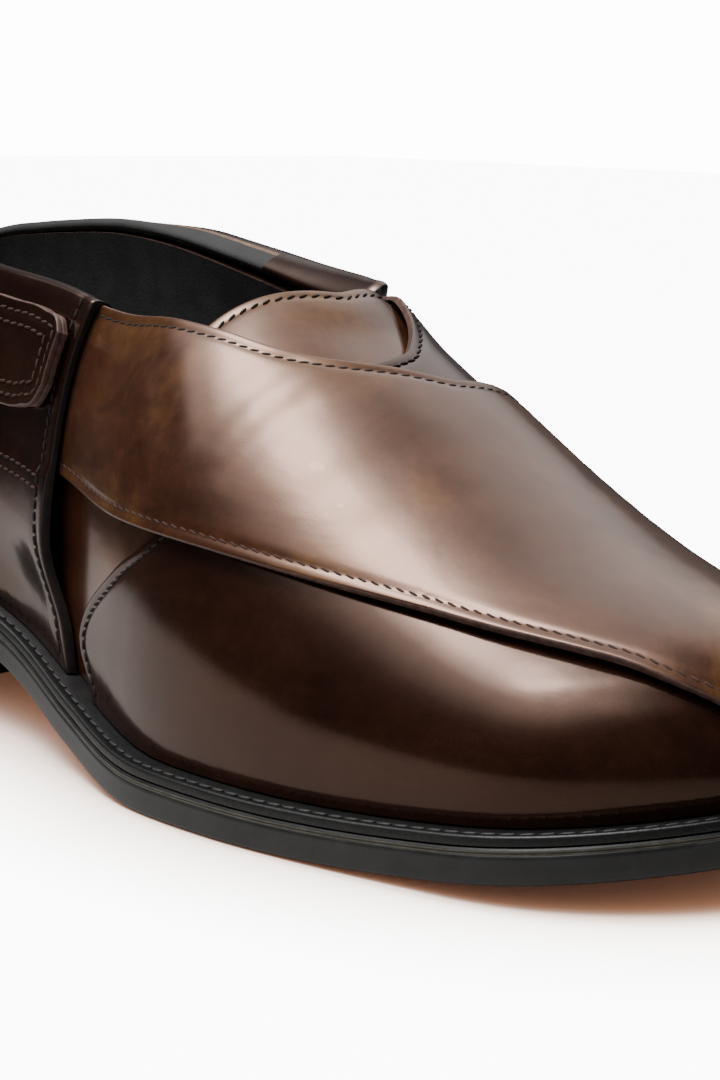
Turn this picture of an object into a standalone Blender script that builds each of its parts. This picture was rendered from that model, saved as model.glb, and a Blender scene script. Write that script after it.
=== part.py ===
"""Right shoe of a pair: a closed-toe Peshawari chappal whose two broad straps cross over the instep.

Metres, +X to the toe, +Y to the inner (medial) side, +Z up. The shoe stands on z = 0.
"""
import bpy
import bmesh
import numpy as np

MM = 0.001

# Colours
BROWN = (0.16, 0.065, 0.045)
SOLE_GREY = (0.035, 0.035, 0.035)
BLACK = (0.02, 0.02, 0.02)
TAN = (0.42, 0.24, 0.14)

# Driving sizes
SHOE_LENGTH = 300 * MM
BALL_WIDTH = 105 * MM
HEEL_RISE = 21.9 * MM
TOE_SPRING = 9.1 * MM
INSTEP_HEIGHT = 88 * MM

# Sole edge, bottom to top
OUTSOLE_EDGE = 6.6 * MM
WELT_EDGE = 1.8 * MM
LAP_GAP = 0.35 * MM
SOLE_EDGE = OUTSOLE_EDGE + LAP_GAP + WELT_EDGE
SEAT = SOLE_EDGE + LAP_GAP
INSOLE_THICKNESS = 2.4 * MM
INSOLE_CLEARANCE = 0.8 * MM
EDGE_BEVEL = 0.8 * MM
WELT_SETBACK = 0.4 * MM
WELT_ROUND = 0.5 * MM
WELT_WIDTH = 12.0 * MM

# Where the ground line leaves the floor, as shares of the length
HEEL_BREAST = 0.26
WAIST_LEAVES_HEEL = 0.25
FLAT_STARTS = 0.617
FLAT_ENDS = 0.70

# The last inside the sole's edge
LAST_INSET = 9.6 * MM
RAISED_MIDDLE_STEP = 3.2 * MM
RAISED_MIDDLE_INSET = LAST_INSET + RAISED_MIDDLE_STEP
RAISED_MIDDLE_SLOPE = 0.3 * MM
HEEL_END_REACH = 0.125
TOE_END_REACH = 0.15
HEEL_CONE_INSET = 40 * MM
TOE_CONE_INSET = 12 * MM
LAST_GIRTH_SAMPLES = 61
SETTLED_RISE = 0.12
EDGE_STEP = 0.001
RIDGE_STEP = 0.004
TURN_STEP = 0.012
GIRTH_STEP = 0.02

# Inside the toe, the middle of its round: leather stands away from it in front
TOE_CORE_STATION = 0.863
TOE_CORE_RISE = 0.06
TOE_CORE_STARTS = 0.90
TOE_CORE_FULL = 0.95

# Leather
WALL = 1.6 * MM
LEATHER = 1.5 * MM
TAB_THICKNESS = 2.6 * MM
LAYER_GAP = 0.8 * MM
UNDER_LIFT = WALL + LAYER_GAP
CROSSING_GAP = 1.1 * MM
OVER_LIFT = UNDER_LIFT + LEATHER + CROSSING_GAP
TOP_FOLD = LEATHER + LAYER_GAP
FOLD_END_GAP = 0.15 * MM
SEAM_STEP = 0.7 * MM
FAR_EAR_STAND = 2.4 * MM

MOST_SAG = 0.8 * MM

# Where the over strap climbs on the under strap, as shares along it
CLIMB_STARTS = 0.10
CLIMB_RUN = 0.12

# Where the ear of the under strap stands off the ankle: station and rise over the seat
EAR_STAND_ENDS = 0.615
EAR_STAND_RUN = 0.07
EAR_STAND_RISE = 0.45
EAR_STAND_RISE_RUN = 0.20

HEEL_TAPER = 2.0 * MM
HEEL_BOW = 5.0 * MM
HEEL_SETBACK = 0.6 * MM
TOP_PIECE = 6.0 * MM
TOP_PIECE_BEVEL = 0.6 * MM

# Throat of the upper: its station, and how far it slants forward on the inner side
THROAT_STATION = 0.528
THROAT_SKEW = 0.030
THROAT_SKEW_GIRTH = 0.3

# Where the quarter starts to cover the ears of the straps: station, and rise over the seat
EAR_COVER_STARTS = 0.29
EAR_COVER_FULL = 0.37
EAR_COVER_RISE = 0.08
EAR_COVER_RISE_RUN = 0.16

# Raised seam of the quarter: its rise at the heel and in front, where it climbs, and its slope
SEAM_RISE_HEEL = 0.27
SEAM_RISE_FRONT = 0.355
SEAM_CLIMB_STARTS = 0.25
SEAM_CLIMB_RUN = 0.20
SEAM_SLOPE = 0.02

# Fineness of the facets
SOLE_TURNS = 41
SOLE_ACROSS = 5
INSOLE_TURNS = 27
HEEL_TURNS = 11
UPPER_BAND_CELLS = 11
TONGUE_CELLS = 8
UPPER_REAR_CELLS = 15
UPPER_FRONT_CELLS = 17
QUARTER_CELLS = 36
QUARTER_WALL_CELLS = 8
QUARTER_FOLD_CELLS = 3
TAB_CELLS = 25
TAB_ACROSS_CELLS = 4

# Outline of the sole: station and middle are shares of the length and ball width,
# outer and inner are half widths as shares of the ball width
PLAN_COLUMNS = ("station", "outer", "inner", "middle")
PLAN = np.array([
    (0.00, 0.340, 0.340, 0.000),
    (0.10, 0.357, 0.357, 0.000),
    (0.20, 0.352, 0.350, 0.000),
    (0.30, 0.335, 0.330, 0.000),
    (0.40, 0.345, 0.318, 0.000),
    (0.50, 0.422, 0.340, 0.000),
    (0.60, 0.503, 0.395, 0.000),
    (0.68, 0.517, 0.445, 0.003),
    (0.77, 0.500, 0.465, 0.014),
    (0.85, 0.470, 0.447, 0.024),
    (0.92, 0.447, 0.410, 0.031),
    (1.00, 0.400, 0.362, 0.038),
])

# Top line of the last: height over the seat as a share of the instep height,
# shift to the inner side as a share of the ball width
RIDGE_COLUMNS = ("station", "height", "shift")
RIDGE = np.array([
    (0.13, 1.06, 0.000),
    (0.25, 1.06, 0.000),
    (0.35, 1.05, 0.010),
    (0.50, 1.00, 0.020),
    (0.583, 0.94, 0.040),
    (0.667, 0.77, 0.060),
    (0.75, 0.59, 0.060),
    (0.833, 0.43, 0.050),
    (0.89, 0.345, 0.035),
    (0.925, 0.285, 0.020),
    (0.945, 0.230, 0.014),
    (0.96, 0.16, 0.010),
])

# Cross sections: squareness of each side (2 is an ellipse) and its swell in millimetres
SECTION_COLUMNS = ("station", "outer squareness", "inner squareness", "outer swell", "inner swell")
SECTION = np.array([
    (0.00, 3.2, 3.2, 1.6, 1.6),
    (0.30, 3.0, 3.6, 1.2, 2.5),
    (0.50, 2.7, 4.8, 1.5, 4.5),
    (0.60, 2.6, 3.4, 1.8, 3.2),
    (0.75, 2.3, 2.4, 2.2, 2.2),
    (0.90, 2.3, 2.3, 2.2, 2.0),
    (1.00, 2.4, 2.4, 1.8, 1.8),
])

# Collar line of the quarter: share of the way from seat to ridge
COLLAR_COLUMNS = ("station", "outer rise", "inner rise")
COLLAR = np.array([
    (0.00, 0.565, 0.565),
    (0.10, 0.575, 0.585),
    (0.20, 0.600, 0.610),
    (0.33, 0.640, 0.665),
    (0.41, 0.690, 0.715),
    (0.50, 0.705, 0.790),
    (0.53, 0.710, 0.815),
])

# Front edge of the quarter from seat to collar
QUARTER_FRONT_RISE = 0.72
QUARTER_FRONT_COLUMNS = ("rise", "outer station", "inner station")
QUARTER_FRONT = np.array([
    (0.00, 0.465, 0.470),
    (0.08, 0.460, 0.470),
    (0.20, 0.446, 0.462),
    (0.45, 0.445, 0.490),
    (0.75, 0.440, 0.540),
])

# A crossed strap seen from its ear: along runs from the ear to the lasted edge, stations are shares
# of the length, girth runs from -1 at the ear's seat over the ridge to 1 at the far seat
STRAP_COLUMNS = ("along", "rear station", "rear girth", "front station", "front girth")
OVER_STRAP = np.array([
    (0.00, 0.395, -0.335, 0.400, -0.660),
    (0.09, 0.446, -0.318, 0.451, -0.635),
    (0.18, 0.499, -0.285, 0.533, -0.620),
    (0.27, 0.552, -0.265, 0.605, -0.603),
    (0.36, 0.595, -0.230, 0.683, -0.583),
    (0.44, 0.618, -0.155, 0.748, -0.548),
    (0.50, 0.638, -0.060, 0.800, -0.535),
    (0.57, 0.650, 0.060, 0.800, -0.385),
    (0.63, 0.658, 0.180, 0.800, -0.257),
    (0.70, 0.650, 0.350, 0.800, -0.107),
    (0.79, 0.600, 0.580, 0.800, 0.160),
    (0.86, 0.537, 0.715, 0.800, 0.440),
    (0.92, 0.494, 0.835, 0.800, 0.680),
    (0.96, 0.484, 0.910, 0.800, 0.840),
    (1.00, 0.504, 1.000, 0.800, 1.000),
])
UNDER_STRAP = np.array([
    (0.00, 0.480, -0.262, 0.400, -0.660),
    (0.09, 0.530, -0.230, 0.451, -0.635),
    (0.18, 0.562, -0.175, 0.533, -0.620),
    (0.27, 0.588, -0.110, 0.605, -0.580),
    (0.36, 0.606, -0.040, 0.670, -0.500),
    (0.44, 0.620, 0.050, 0.725, -0.360),
    (0.51, 0.628, 0.140, 0.785, -0.200),
    (0.57, 0.635, 0.230, 0.845, -0.030),
    (0.63, 0.635, 0.330, 0.905, 0.100),
    (0.70, 0.620, 0.470, 0.960, 0.200),
    (0.79, 0.581, 0.620, 1.000, 0.280),
    (0.86, 0.537, 0.715, 1.022, 0.450),
    (0.92, 0.494, 0.835, 1.045, 0.660),
    (0.96, 0.484, 0.910, 1.060, 0.820),
    (1.00, 0.504, 1.000, 1.075, 1.000),
])
TOE_CAP_SIDE_CELLS = 9
STRAP_LENGTH_CELLS = 4 * TOE_CAP_SIDE_CELLS
STRAP_WIDTH_CELLS = 10

# Lower edge of the over strap round the toe, from the cap's rear line to the toe tip
TOE_CAP_STATION = 0.800
TOE_CAP_CELLS = 8
TOE_CAP_COLUMNS = ("along", "outer girth", "inner girth")
TOE_CAP = np.array([
    (0.00, 0.535, 1.000),
    (0.16, 0.525, 1.000),
    (0.36, 0.500, 1.000),
    (0.51, 0.475, 1.000),
    (0.62, 0.455, 0.860),
    (0.75, 0.440, 0.620),
    (0.88, 0.432, 0.470),
    (1.00, 0.430, 0.430),
])

# Fastening strap on the outer side of the quarter, from its sewn end to its tab
TAB_COLUMNS = ("along", "station", "top girth", "bottom girth")
TAB = np.array([
    (0.00, 0.090, -0.490, -0.620),
    (0.25, 0.180, -0.480, -0.640),
    (0.50, 0.270, -0.450, -0.635),
    (0.80, 0.375, -0.385, -0.580),
    (0.93, 0.412, -0.365, -0.545),
    (0.98, 0.428, -0.368, -0.515),
    (1.00, 0.434, -0.385, -0.480),
])


def column(table, names, name, at):
    """Smooth curve through one named column of a table."""
    xs = table[:, 0]
    ys = table[:, names.index(name)]
    step = np.diff(xs)
    slope = np.diff(ys) / step
    share = step[:-1] / (step[:-1] + step[1:])
    inner = slope[:-1] * (1 - share) + slope[1:] * share
    tangent = np.concatenate([slope[:1], inner, slope[-1:]])
    at = np.clip(at, xs[0], xs[-1])
    row = np.clip(np.searchsorted(xs, at, side="right") - 1, 0, len(xs) - 2)
    t = (at - xs[row]) / step[row]
    rise = (1 + 2 * t) * (1 - t) ** 2 * ys[row] + t ** 2 * (3 - 2 * t) * ys[row + 1]
    lean = t * (1 - t) ** 2 * tangent[row] + t ** 2 * (t - 1) * tangent[row + 1]
    return rise + step[row] * lean


def ease(value):
    """0 below 0, 1 above 1, smooth between."""
    t = np.clip(value, 0, 1)
    return t * t * (3 - 2 * t)


def station_of(turn):
    """Share of the length at a turn round the outline: 0 heel tip, 1 toe tip."""
    return (1 - np.cos(np.pi * turn)) / 2


def turn_of(station):
    """Turn at a station; a station over 1 lies past the toe tip, on the other side."""
    station = np.asarray(station, dtype=float)
    back = np.where(station > 1, 2 - station, station)
    turn = np.arccos(1 - 2 * back) / np.pi
    return np.where(station > 1, 2 - turn, turn)


def fold_back(turn, girth):
    """Turns past either tip come back on the other side."""
    past = (turn < 0) | (turn > 1)
    turn = np.where(turn < 0, -turn, np.where(turn > 1, 2 - turn, turn))
    return turn, np.where(past, -girth, girth)


def edge_point(turn, side):
    """Point of the sole's outline."""
    turn, side = fold_back(turn, side)
    station = station_of(turn)
    heel = np.clip(station / HEEL_END_REACH, 0, 1)
    toe = np.clip((1 - station) / TOE_END_REACH, 0, 1)
    heel_round = np.sqrt(np.clip(1 - (1 - heel) ** 2, 0, 1))
    toe_round = np.sqrt(np.clip(1 - (1 - toe) ** 2, 0, 1))
    outer = column(PLAN, PLAN_COLUMNS, "outer", station)
    inner = column(PLAN, PLAN_COLUMNS, "inner", station)
    middle = column(PLAN, PLAN_COLUMNS, "middle", station)
    half = np.where(side < 0, -outer, inner) * heel_round * toe_round
    return np.stack([SHOE_LENGTH * station, (middle + half) * BALL_WIDTH], -1)


def plan_point(turn, side, inset):
    """Point of the outline moved inwards, square to the edge."""
    along = edge_point(turn + EDGE_STEP, side) - edge_point(turn - EDGE_STEP, side)
    along = along / np.linalg.norm(along, axis=-1, keepdims=True)
    outward = np.stack([-along[..., 1], along[..., 0]], -1)
    outward = outward * np.where(side < 0, -1.0, 1.0)[..., None]
    return edge_point(turn, side) - inset * outward


def ground_z(x):
    """Underside of the outsole: arched waist, flat forefoot, toe spring."""
    share = x / SHOE_LENGTH
    waist = ease((FLAT_STARTS - share) / (FLAT_STARTS - WAIST_LEAVES_HEEL))
    toe = np.clip((share - FLAT_ENDS) / (1 - FLAT_ENDS), 0, 1)
    return HEEL_RISE * waist + TOE_SPRING * toe ** 2


def ridge_z(station):
    rise = column(RIDGE, RIDGE_COLUMNS, "height", station)
    return ground_z(station * SHOE_LENGTH) + SEAT + rise * INSTEP_HEIGHT


def profile(turn, girth):
    """Half section of the last from seat to ridge, sampled along its girth."""
    side = np.where(girth < 0, -1.0, 1.0)
    foot = plan_point(turn, side, LAST_INSET)
    reach = SHOE_LENGTH - HEEL_CONE_INSET - TOE_CONE_INSET
    top_x = HEEL_CONE_INSET + station_of(turn) * reach
    station = top_x / SHOE_LENGTH
    shift = column(PLAN, PLAN_COLUMNS, "middle", station) + column(RIDGE, RIDGE_COLUMNS, "shift", station)
    top = np.stack([top_x, shift * BALL_WIDTH], -1)
    top_z = ridge_z(station)
    slope = (ridge_z(station + RIDGE_STEP) - ridge_z(station - RIDGE_STEP)) / (2 * RIDGE_STEP * SHOE_LENGTH)
    foot_z = ground_z(foot[..., 0]) + SEAT
    square = np.where(side < 0, column(SECTION, SECTION_COLUMNS, "outer squareness", station),
                      column(SECTION, SECTION_COLUMNS, "inner squareness", station))
    swell = np.where(side < 0, column(SECTION, SECTION_COLUMNS, "outer swell", station),
                     column(SECTION, SECTION_COLUMNS, "inner swell", station)) * MM
    angle = np.linspace(0, np.pi / 2, LAST_GIRTH_SAMPLES)
    across = np.cos(angle) ** (2 / square[..., None])
    across[..., -1] = 0
    up = np.sin(angle) ** (2 / square[..., None])
    run = np.linalg.norm(top - foot, axis=-1)
    outward = (foot - top) / run[..., None]
    out = run[..., None] * across + swell[..., None] * np.sin(np.pi * up)
    tilt = (slope * outward[..., 0])[..., None] * out * up ** 2
    height = foot_z[..., None] + (top_z - foot_z)[..., None] * up + tilt
    return top, outward, out, height


def girth_length(turn, girth):
    """Length of the half section from seat to ridge."""
    top, outward, out, height = profile(*fold_back(turn, girth))
    return np.hypot(np.diff(out, axis=-1), np.diff(height, axis=-1)).sum(-1)


def last_point(turn, girth):
    """Point of the last: turn 0 heel to 1 toe, girth -1 outer seat, 0 ridge, 1 inner seat."""
    turn, girth = fold_back(*np.broadcast_arrays(turn, girth))
    top, outward, out, height = profile(turn, girth)
    piece = np.hypot(np.diff(out, axis=-1), np.diff(height, axis=-1))
    arc = np.concatenate([np.zeros_like(out[..., :1]), np.cumsum(piece, axis=-1)], axis=-1)
    want = (1 - np.abs(girth)) * arc[..., -1]
    row = np.clip((arc <= want[..., None]).sum(-1) - 1, 0, LAST_GIRTH_SAMPLES - 2)

    def pick(values, index):
        return np.take_along_axis(values, index[..., None], -1)[..., 0]

    start = pick(arc, row)
    t = (want - start) / (pick(arc, row + 1) - start)
    out_here = pick(out, row) * (1 - t) + pick(out, row + 1) * t
    z = pick(height, row) * (1 - t) + pick(height, row + 1) * t
    return np.concatenate([top + outward * out_here[..., None], z[..., None]], -1)


def toe_core():
    """Point inside the toe that its leather stands away from."""
    x = TOE_CORE_STATION * SHOE_LENGTH
    y = column(PLAN, PLAN_COLUMNS, "middle", TOE_CORE_STATION) * BALL_WIDTH
    return np.array([x, y, ground_z(x) + SEAT + TOE_CORE_RISE * INSTEP_HEIGHT])


def unit(vector):
    return vector / np.maximum(np.linalg.norm(vector, axis=-1, keepdims=True), 1e-12)


def skin(turn, girth, lift):
    """Point at a height of leather over the last."""
    turn, girth, lift = np.broadcast_arrays(turn, girth, lift)
    along = last_point(turn + TURN_STEP, girth) - last_point(turn - TURN_STEP, girth)
    ahead = np.clip(girth + GIRTH_STEP, -1, 1)
    behind = np.clip(girth - GIRTH_STEP, -1, 1)
    square = unit(np.cross(along, last_point(turn, ahead) - last_point(turn, behind)))
    base = last_point(turn, girth)
    at_toe = ease((base[..., 0] / SHOE_LENGTH - TOE_CORE_STARTS) / (TOE_CORE_FULL - TOE_CORE_STARTS))
    normal = square + (unit(base - toe_core()) - square) * at_toe[..., None]
    settle = np.clip((1 - np.abs(girth)) / SETTLED_RISE, 0, 1)
    normal[..., 2] = normal[..., 2] * settle
    point = base + unit(normal) * lift[..., None]
    point[..., 2] += (1 - settle) * (ground_z(point[..., 0]) - ground_z(base[..., 0]))
    return point


def floor_middle():
    """Middle of the sole's bounding box, on the floor: the part's origin."""
    turns = np.linspace(0, 1, 201)
    outline = np.concatenate([edge_point(turns, np.full_like(turns, side)) for side in (-1.0, 1.0)])
    middle = (outline.min(axis=0) + outline.max(axis=0)) / 2
    return np.array([middle[0], middle[1], 0.0])


def make_object(name, mesh_data, colour, roughness):
    """One named node with its own material, welded and closed."""
    points, faces = mesh_data
    mesh = bpy.data.meshes.new(name)
    mesh.from_pydata([tuple(p) for p in points - floor_middle()], [], faces)
    work = bmesh.new()
    work.from_mesh(mesh)
    bmesh.ops.remove_doubles(work, verts=work.verts, dist=0.000002)
    bmesh.ops.dissolve_degenerate(work, edges=work.edges, dist=0.000002)
    bmesh.ops.recalc_face_normals(work, faces=work.faces)
    work.to_mesh(mesh)
    work.free()
    for polygon in mesh.polygons:
        polygon.use_smooth = True
    material = bpy.data.materials.new(name)
    material.use_nodes = True
    shader = material.node_tree.nodes["Principled BSDF"]
    shader.inputs["Base Color"].default_value = (*colour, 1.0)
    shader.inputs["Roughness"].default_value = roughness
    mesh.materials.append(material)
    node = bpy.data.objects.new(name, mesh)
    PARTS.objects.link(node)
    return node


def sheet(outer, inner, kept=None, same=None):
    """Closed wall between two grids of points; kept marks the cells, same maps joined points."""
    rows, across = outer.shape[:2]
    number = np.arange(rows * across).reshape(rows, across)
    if same is not None:
        number = same(number)
    if kept is None:
        kept = np.ones((rows - 1, across - 1), bool)
    count = rows * across
    faces = []
    borders = {}
    for i, j in zip(*np.nonzero(kept)):
        ring = [int(number[i, j]), int(number[i + 1, j]), int(number[i + 1, j + 1]), int(number[i, j + 1])]
        ring = [v for k, v in enumerate(ring) if v != ring[k - 1]]
        faces.append(ring)
        faces.append([v + count for v in reversed(ring)])
        for a, b in zip(ring, ring[1:] + ring[:1]):
            if (b, a) in borders:
                del borders[(b, a)]
            else:
                borders[(a, b)] = True
    for a, b in borders:
        faces.append([b, a, a + count, b + count])
    points = np.concatenate([outer.reshape(-1, 3), inner.reshape(-1, 3)])
    return points, faces


def plan_grid(turns, across, inset, height):
    """Grid of a flat-wise piece between its two edges; height is a function of x."""
    outer = plan_point(turns, -np.ones_like(turns), inset)
    inner = plan_point(turns, np.ones_like(turns), inset)
    share = np.linspace(0, 1, across)[None, :, None]
    flat = outer[:, None] * (1 - share) + inner[:, None] * share
    return flat, height


def stacked(grids):
    """Closed block from level grids: caps at both ends, walls round the border."""
    levels = []
    for flat, height in grids:
        z = height(flat[..., 0])
        levels.append(np.concatenate([flat, z[..., None]], -1))
    rows, across = levels[0].shape[:2]
    count = rows * across
    number = np.arange(count).reshape(rows, across)
    border = [number[:, 0], number[-1, 1:], number[-2::-1, -1], number[0, -2:0:-1]]
    border = [int(v) for v in np.concatenate(border)]
    faces = []
    last = (len(levels) - 1) * count
    for i in range(rows - 1):
        for j in range(across - 1):
            corners = (number[i, j], number[i, j + 1], number[i + 1, j + 1], number[i + 1, j])
            ring = [int(v) for v in corners]
            faces.append(ring)
            faces.append([v + last for v in reversed(ring)])
    for level in range(len(levels) - 1):
        low = level * count
        for a, b in zip(border, border[1:] + border[:1]):
            faces.append([a + low, b + low, b + low + count, a + low + count])
    return np.concatenate([level.reshape(-1, 3) for level in levels]), faces


def used_only(mesh_data):
    """Drops points that no face uses."""
    points, faces = mesh_data
    used = sorted({v for face in faces for v in face})
    place = {old: new for new, old in enumerate(used)}
    return points[used], [[place[v] for v in face] for face in faces]


def over_ground(height):
    return lambda x: ground_z(x) + height


def outsole():
    """Leather outsole: bevelled foot, side, and a raised middle inside the welt."""
    turns = np.linspace(0, 1, SOLE_TURNS)
    middle = RAISED_MIDDLE_INSET
    levels = [
        plan_grid(turns, SOLE_ACROSS, EDGE_BEVEL, over_ground(0)),
        plan_grid(turns, SOLE_ACROSS, 0, over_ground(EDGE_BEVEL)),
        plan_grid(turns, SOLE_ACROSS, 0, over_ground(OUTSOLE_EDGE)),
        plan_grid(turns, SOLE_ACROSS, middle, over_ground(OUTSOLE_EDGE)),
        plan_grid(turns, SOLE_ACROSS, middle + RAISED_MIDDLE_SLOPE, over_ground(SOLE_EDGE)),
    ]
    return used_only(stacked(levels))


def welt():
    """Narrow strip between outsole and uppers, a closed ring."""
    turns = np.linspace(0, 1, SOLE_TURNS)
    low = OUTSOLE_EDGE + LAP_GAP
    high = SOLE_EDGE
    outside = WELT_SETBACK
    inside = WELT_SETBACK + WELT_WIDTH
    section = (
        (outside, low),
        (outside, high - WELT_ROUND),
        (outside + WELT_ROUND, high),
        (inside, high),
        (inside, low),
    )
    rings = []
    for inset, height in section:
        outer = plan_point(turns, -np.ones_like(turns), inset)
        inner = plan_point(turns, np.ones_like(turns), inset)
        loop = np.concatenate([outer, inner[-2:0:-1]])
        rings.append(np.column_stack([loop, ground_z(loop[:, 0]) + height]))
    around = len(rings[0])
    faces = []
    for k in range(len(section)):
        low_ring = k * around
        next_ring = (k + 1) % len(section) * around
        for a in range(around):
            b = (a + 1) % around
            faces.append([low_ring + a, low_ring + b, next_ring + b, next_ring + a])
    return np.concatenate(rings), faces


def insole():
    """Leather board that the foot stands on, inside the upper."""
    turns = np.linspace(0, 1, INSOLE_TURNS)
    inset = LAST_INSET + INSOLE_CLEARANCE
    levels = [
        plan_grid(turns, SOLE_ACROSS, inset, over_ground(SEAT)),
        plan_grid(turns, SOLE_ACROSS, inset, over_ground(SEAT + INSOLE_THICKNESS)),
    ]
    return used_only(stacked(levels))


def heel_level(inset, height):
    """Heel outline with a bowed breast."""
    turns = np.linspace(0, float(turn_of(HEEL_BREAST)), HEEL_TURNS)
    flat, level = plan_grid(turns, SOLE_ACROSS, inset, height)
    bow = HEEL_BOW * (1 - np.linspace(-1, 1, SOLE_ACROSS) ** 2)
    flat[..., 0] -= bow[None] * (np.linspace(0, 1, len(turns)) ** 3)[:, None]
    return flat, level


def heel():
    """Heel block, tapered down to the top piece, under the outsole's rear."""
    low = TOP_PIECE + LAP_GAP
    levels = [
        heel_level(HEEL_TAPER, lambda x: np.full_like(x, low)),
        heel_level(HEEL_SETBACK, lambda x: ground_z(x) - LAP_GAP),
    ]
    return used_only(stacked(levels))


def top_piece():
    """Rubber lift that the heel stands on."""
    levels = [
        heel_level(HEEL_TAPER + TOP_PIECE_BEVEL, lambda x: np.zeros_like(x)),
        heel_level(HEEL_TAPER, lambda x: np.full_like(x, TOP_PIECE_BEVEL)),
        heel_level(HEEL_TAPER, lambda x: np.full_like(x, TOP_PIECE)),
    ]
    return used_only(stacked(levels))


def collar_rise(turn, side):
    """Height of the collar line as a share of the girth from seat to ridge."""
    station = station_of(turn)
    return np.where(side < 0, column(COLLAR, COLLAR_COLUMNS, "outer rise", station),
                    column(COLLAR, COLLAR_COLUMNS, "inner rise", station))


def upper():
    """Inner vamp and quarter lining in one hollow wall, open at collar, throat and seat."""
    band = UPPER_BAND_CELLS
    throat = float(turn_of(THROAT_STATION))
    rear = np.linspace(0, throat, UPPER_REAR_CELLS + 1)
    front = np.linspace(throat, 1, UPPER_FRONT_CELLS + 1)
    turns = np.concatenate([rear, front[1:]])
    rows = 2 * band + TONGUE_CELLS + 1
    girth = np.empty((len(turns), rows))
    for side, order in ((-1.0, slice(None)), (1.0, slice(None, None, -1))):
        sides = np.full_like(turns, side)
        fold = TOP_FOLD / girth_length(turns, sides)
        top = collar_rise(np.minimum(turns, throat), sides) - fold
        share = np.linspace(0, 1, band + 1)
        girth[:, order][:, :band + 1] = side * (1 - share[None] * top[:, None])
    for i in range(len(turns)):
        girth[i, band:-band] = np.linspace(girth[i, band], girth[i, -band - 1], TONGUE_CELLS + 1)
    nearness = np.minimum(turns / throat, (1 - turns) / (1 - throat))
    skew = float(turn_of(THROAT_STATION + THROAT_SKEW)) - throat
    inner_side = ease((girth + THROAT_SKEW_GIRTH) / (2 * THROAT_SKEW_GIRTH))
    spread = turns[:, None] + skew * nearness[:, None] * inner_side
    kept = np.ones((len(turns) - 1, rows - 1), bool)
    kept[:UPPER_REAR_CELLS, band:-band] = False

    def same(number):
        joined = number.copy()
        half = rows // 2
        for tip in (0, -1):
            joined[tip, :half] = number[tip, :half:-1]
        return joined

    outer = skin(spread, girth, WALL)
    inner = skin(spread, girth, 0.0)
    for grid in (outer, inner):
        for tip in (0, -1):
            grid[tip, rows // 2 + 1:] = grid[tip, :rows // 2][::-1]
    return used_only(sheet(outer, inner, kept, same))


def strap_domain(table, ear_side):
    """Turns and girths of a crossed strap, with its own shares along and across."""
    along = np.linspace(0, 1, STRAP_LENGTH_CELLS + 1)
    across = np.linspace(0, 1, STRAP_WIDTH_CELLS + 1)
    rear_turn = turn_of(column(table, STRAP_COLUMNS, "rear station", along))
    front_turn = turn_of(column(table, STRAP_COLUMNS, "front station", along))
    rear_girth = column(table, STRAP_COLUMNS, "rear girth", along)
    front_girth = column(table, STRAP_COLUMNS, "front girth", along)
    turn = rear_turn[:, None] * (1 - across) + front_turn[:, None] * across
    girth = rear_girth[:, None] * (1 - across) + front_girth[:, None] * across
    return turn, -ear_side * girth, along[:, None] + 0 * across, across + 0 * along[:, None]


def cell_middles(values):
    return (values[1:, 1:] + values[:-1, 1:] + values[1:, :-1] + values[:-1, :-1]) / 4


def taut(turn, girth, lift, kept):
    """Lift with the corners of each flat facet raised, so that its middle clears the layer below."""
    corners = skin(turn, girth, lift)
    middle = (cell_middles(turn), cell_middles(girth))
    curved = skin(*middle, cell_middles(lift))
    outward = (skin(*middle, cell_middles(lift) + MM) - curved) / MM
    sag = np.abs(((curved - cell_middles(corners)) * outward).sum(-1)) * kept
    sag = np.minimum(sag, MOST_SAG)
    raised = np.zeros_like(lift)
    for rows in (slice(1, None), slice(None, -1)):
        for places in (slice(1, None), slice(None, -1)):
            raised[rows, places] = np.maximum(raised[rows, places], sag)
    return lift + raised


def with_toe_cap(turn, girth):
    """Adds the toe cap in front of a strap's inner half; returns turns, girths and the kept cells."""
    half = STRAP_LENGTH_CELLS // 2
    start = float(turn_of(TOE_CAP_STATION))
    cap = np.linspace(0, 1, TOE_CAP_CELLS + 1)
    outer = column(TOE_CAP, TOE_CAP_COLUMNS, "outer girth", cap)
    inner = column(TOE_CAP, TOE_CAP_COLUMNS, "inner girth", cap)
    share = np.linspace(-1, 1, 2 * TOE_CAP_SIDE_CELLS + 1)[:, None]
    cap_girth = np.where(share < 0, share * outer, share * inner)
    cap_turn = start + (1 - start) * cap + 0 * cap_girth
    across = np.linspace(0, 1, STRAP_WIDTH_CELLS + 1)
    girth[half:] = girth[half:, :1] * (1 - across) + cap_girth[:, :1] * across
    turn[half:] = turn[half:, :1] * (1 - across) + start * across
    idle_turn = np.repeat(turn[:half, -1:], TOE_CAP_CELLS, axis=1)
    idle_girth = np.repeat(girth[:half, -1:], TOE_CAP_CELLS, axis=1)
    full_turn = np.hstack([turn, np.vstack([idle_turn, cap_turn[:, 1:]])])
    full_girth = np.hstack([girth, np.vstack([idle_girth, cap_girth[:, 1:]])])
    kept = np.ones((STRAP_LENGTH_CELLS, STRAP_WIDTH_CELLS + TOE_CAP_CELLS), bool)
    kept[:half, STRAP_WIDTH_CELLS:] = False
    return full_turn, full_girth, kept


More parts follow.
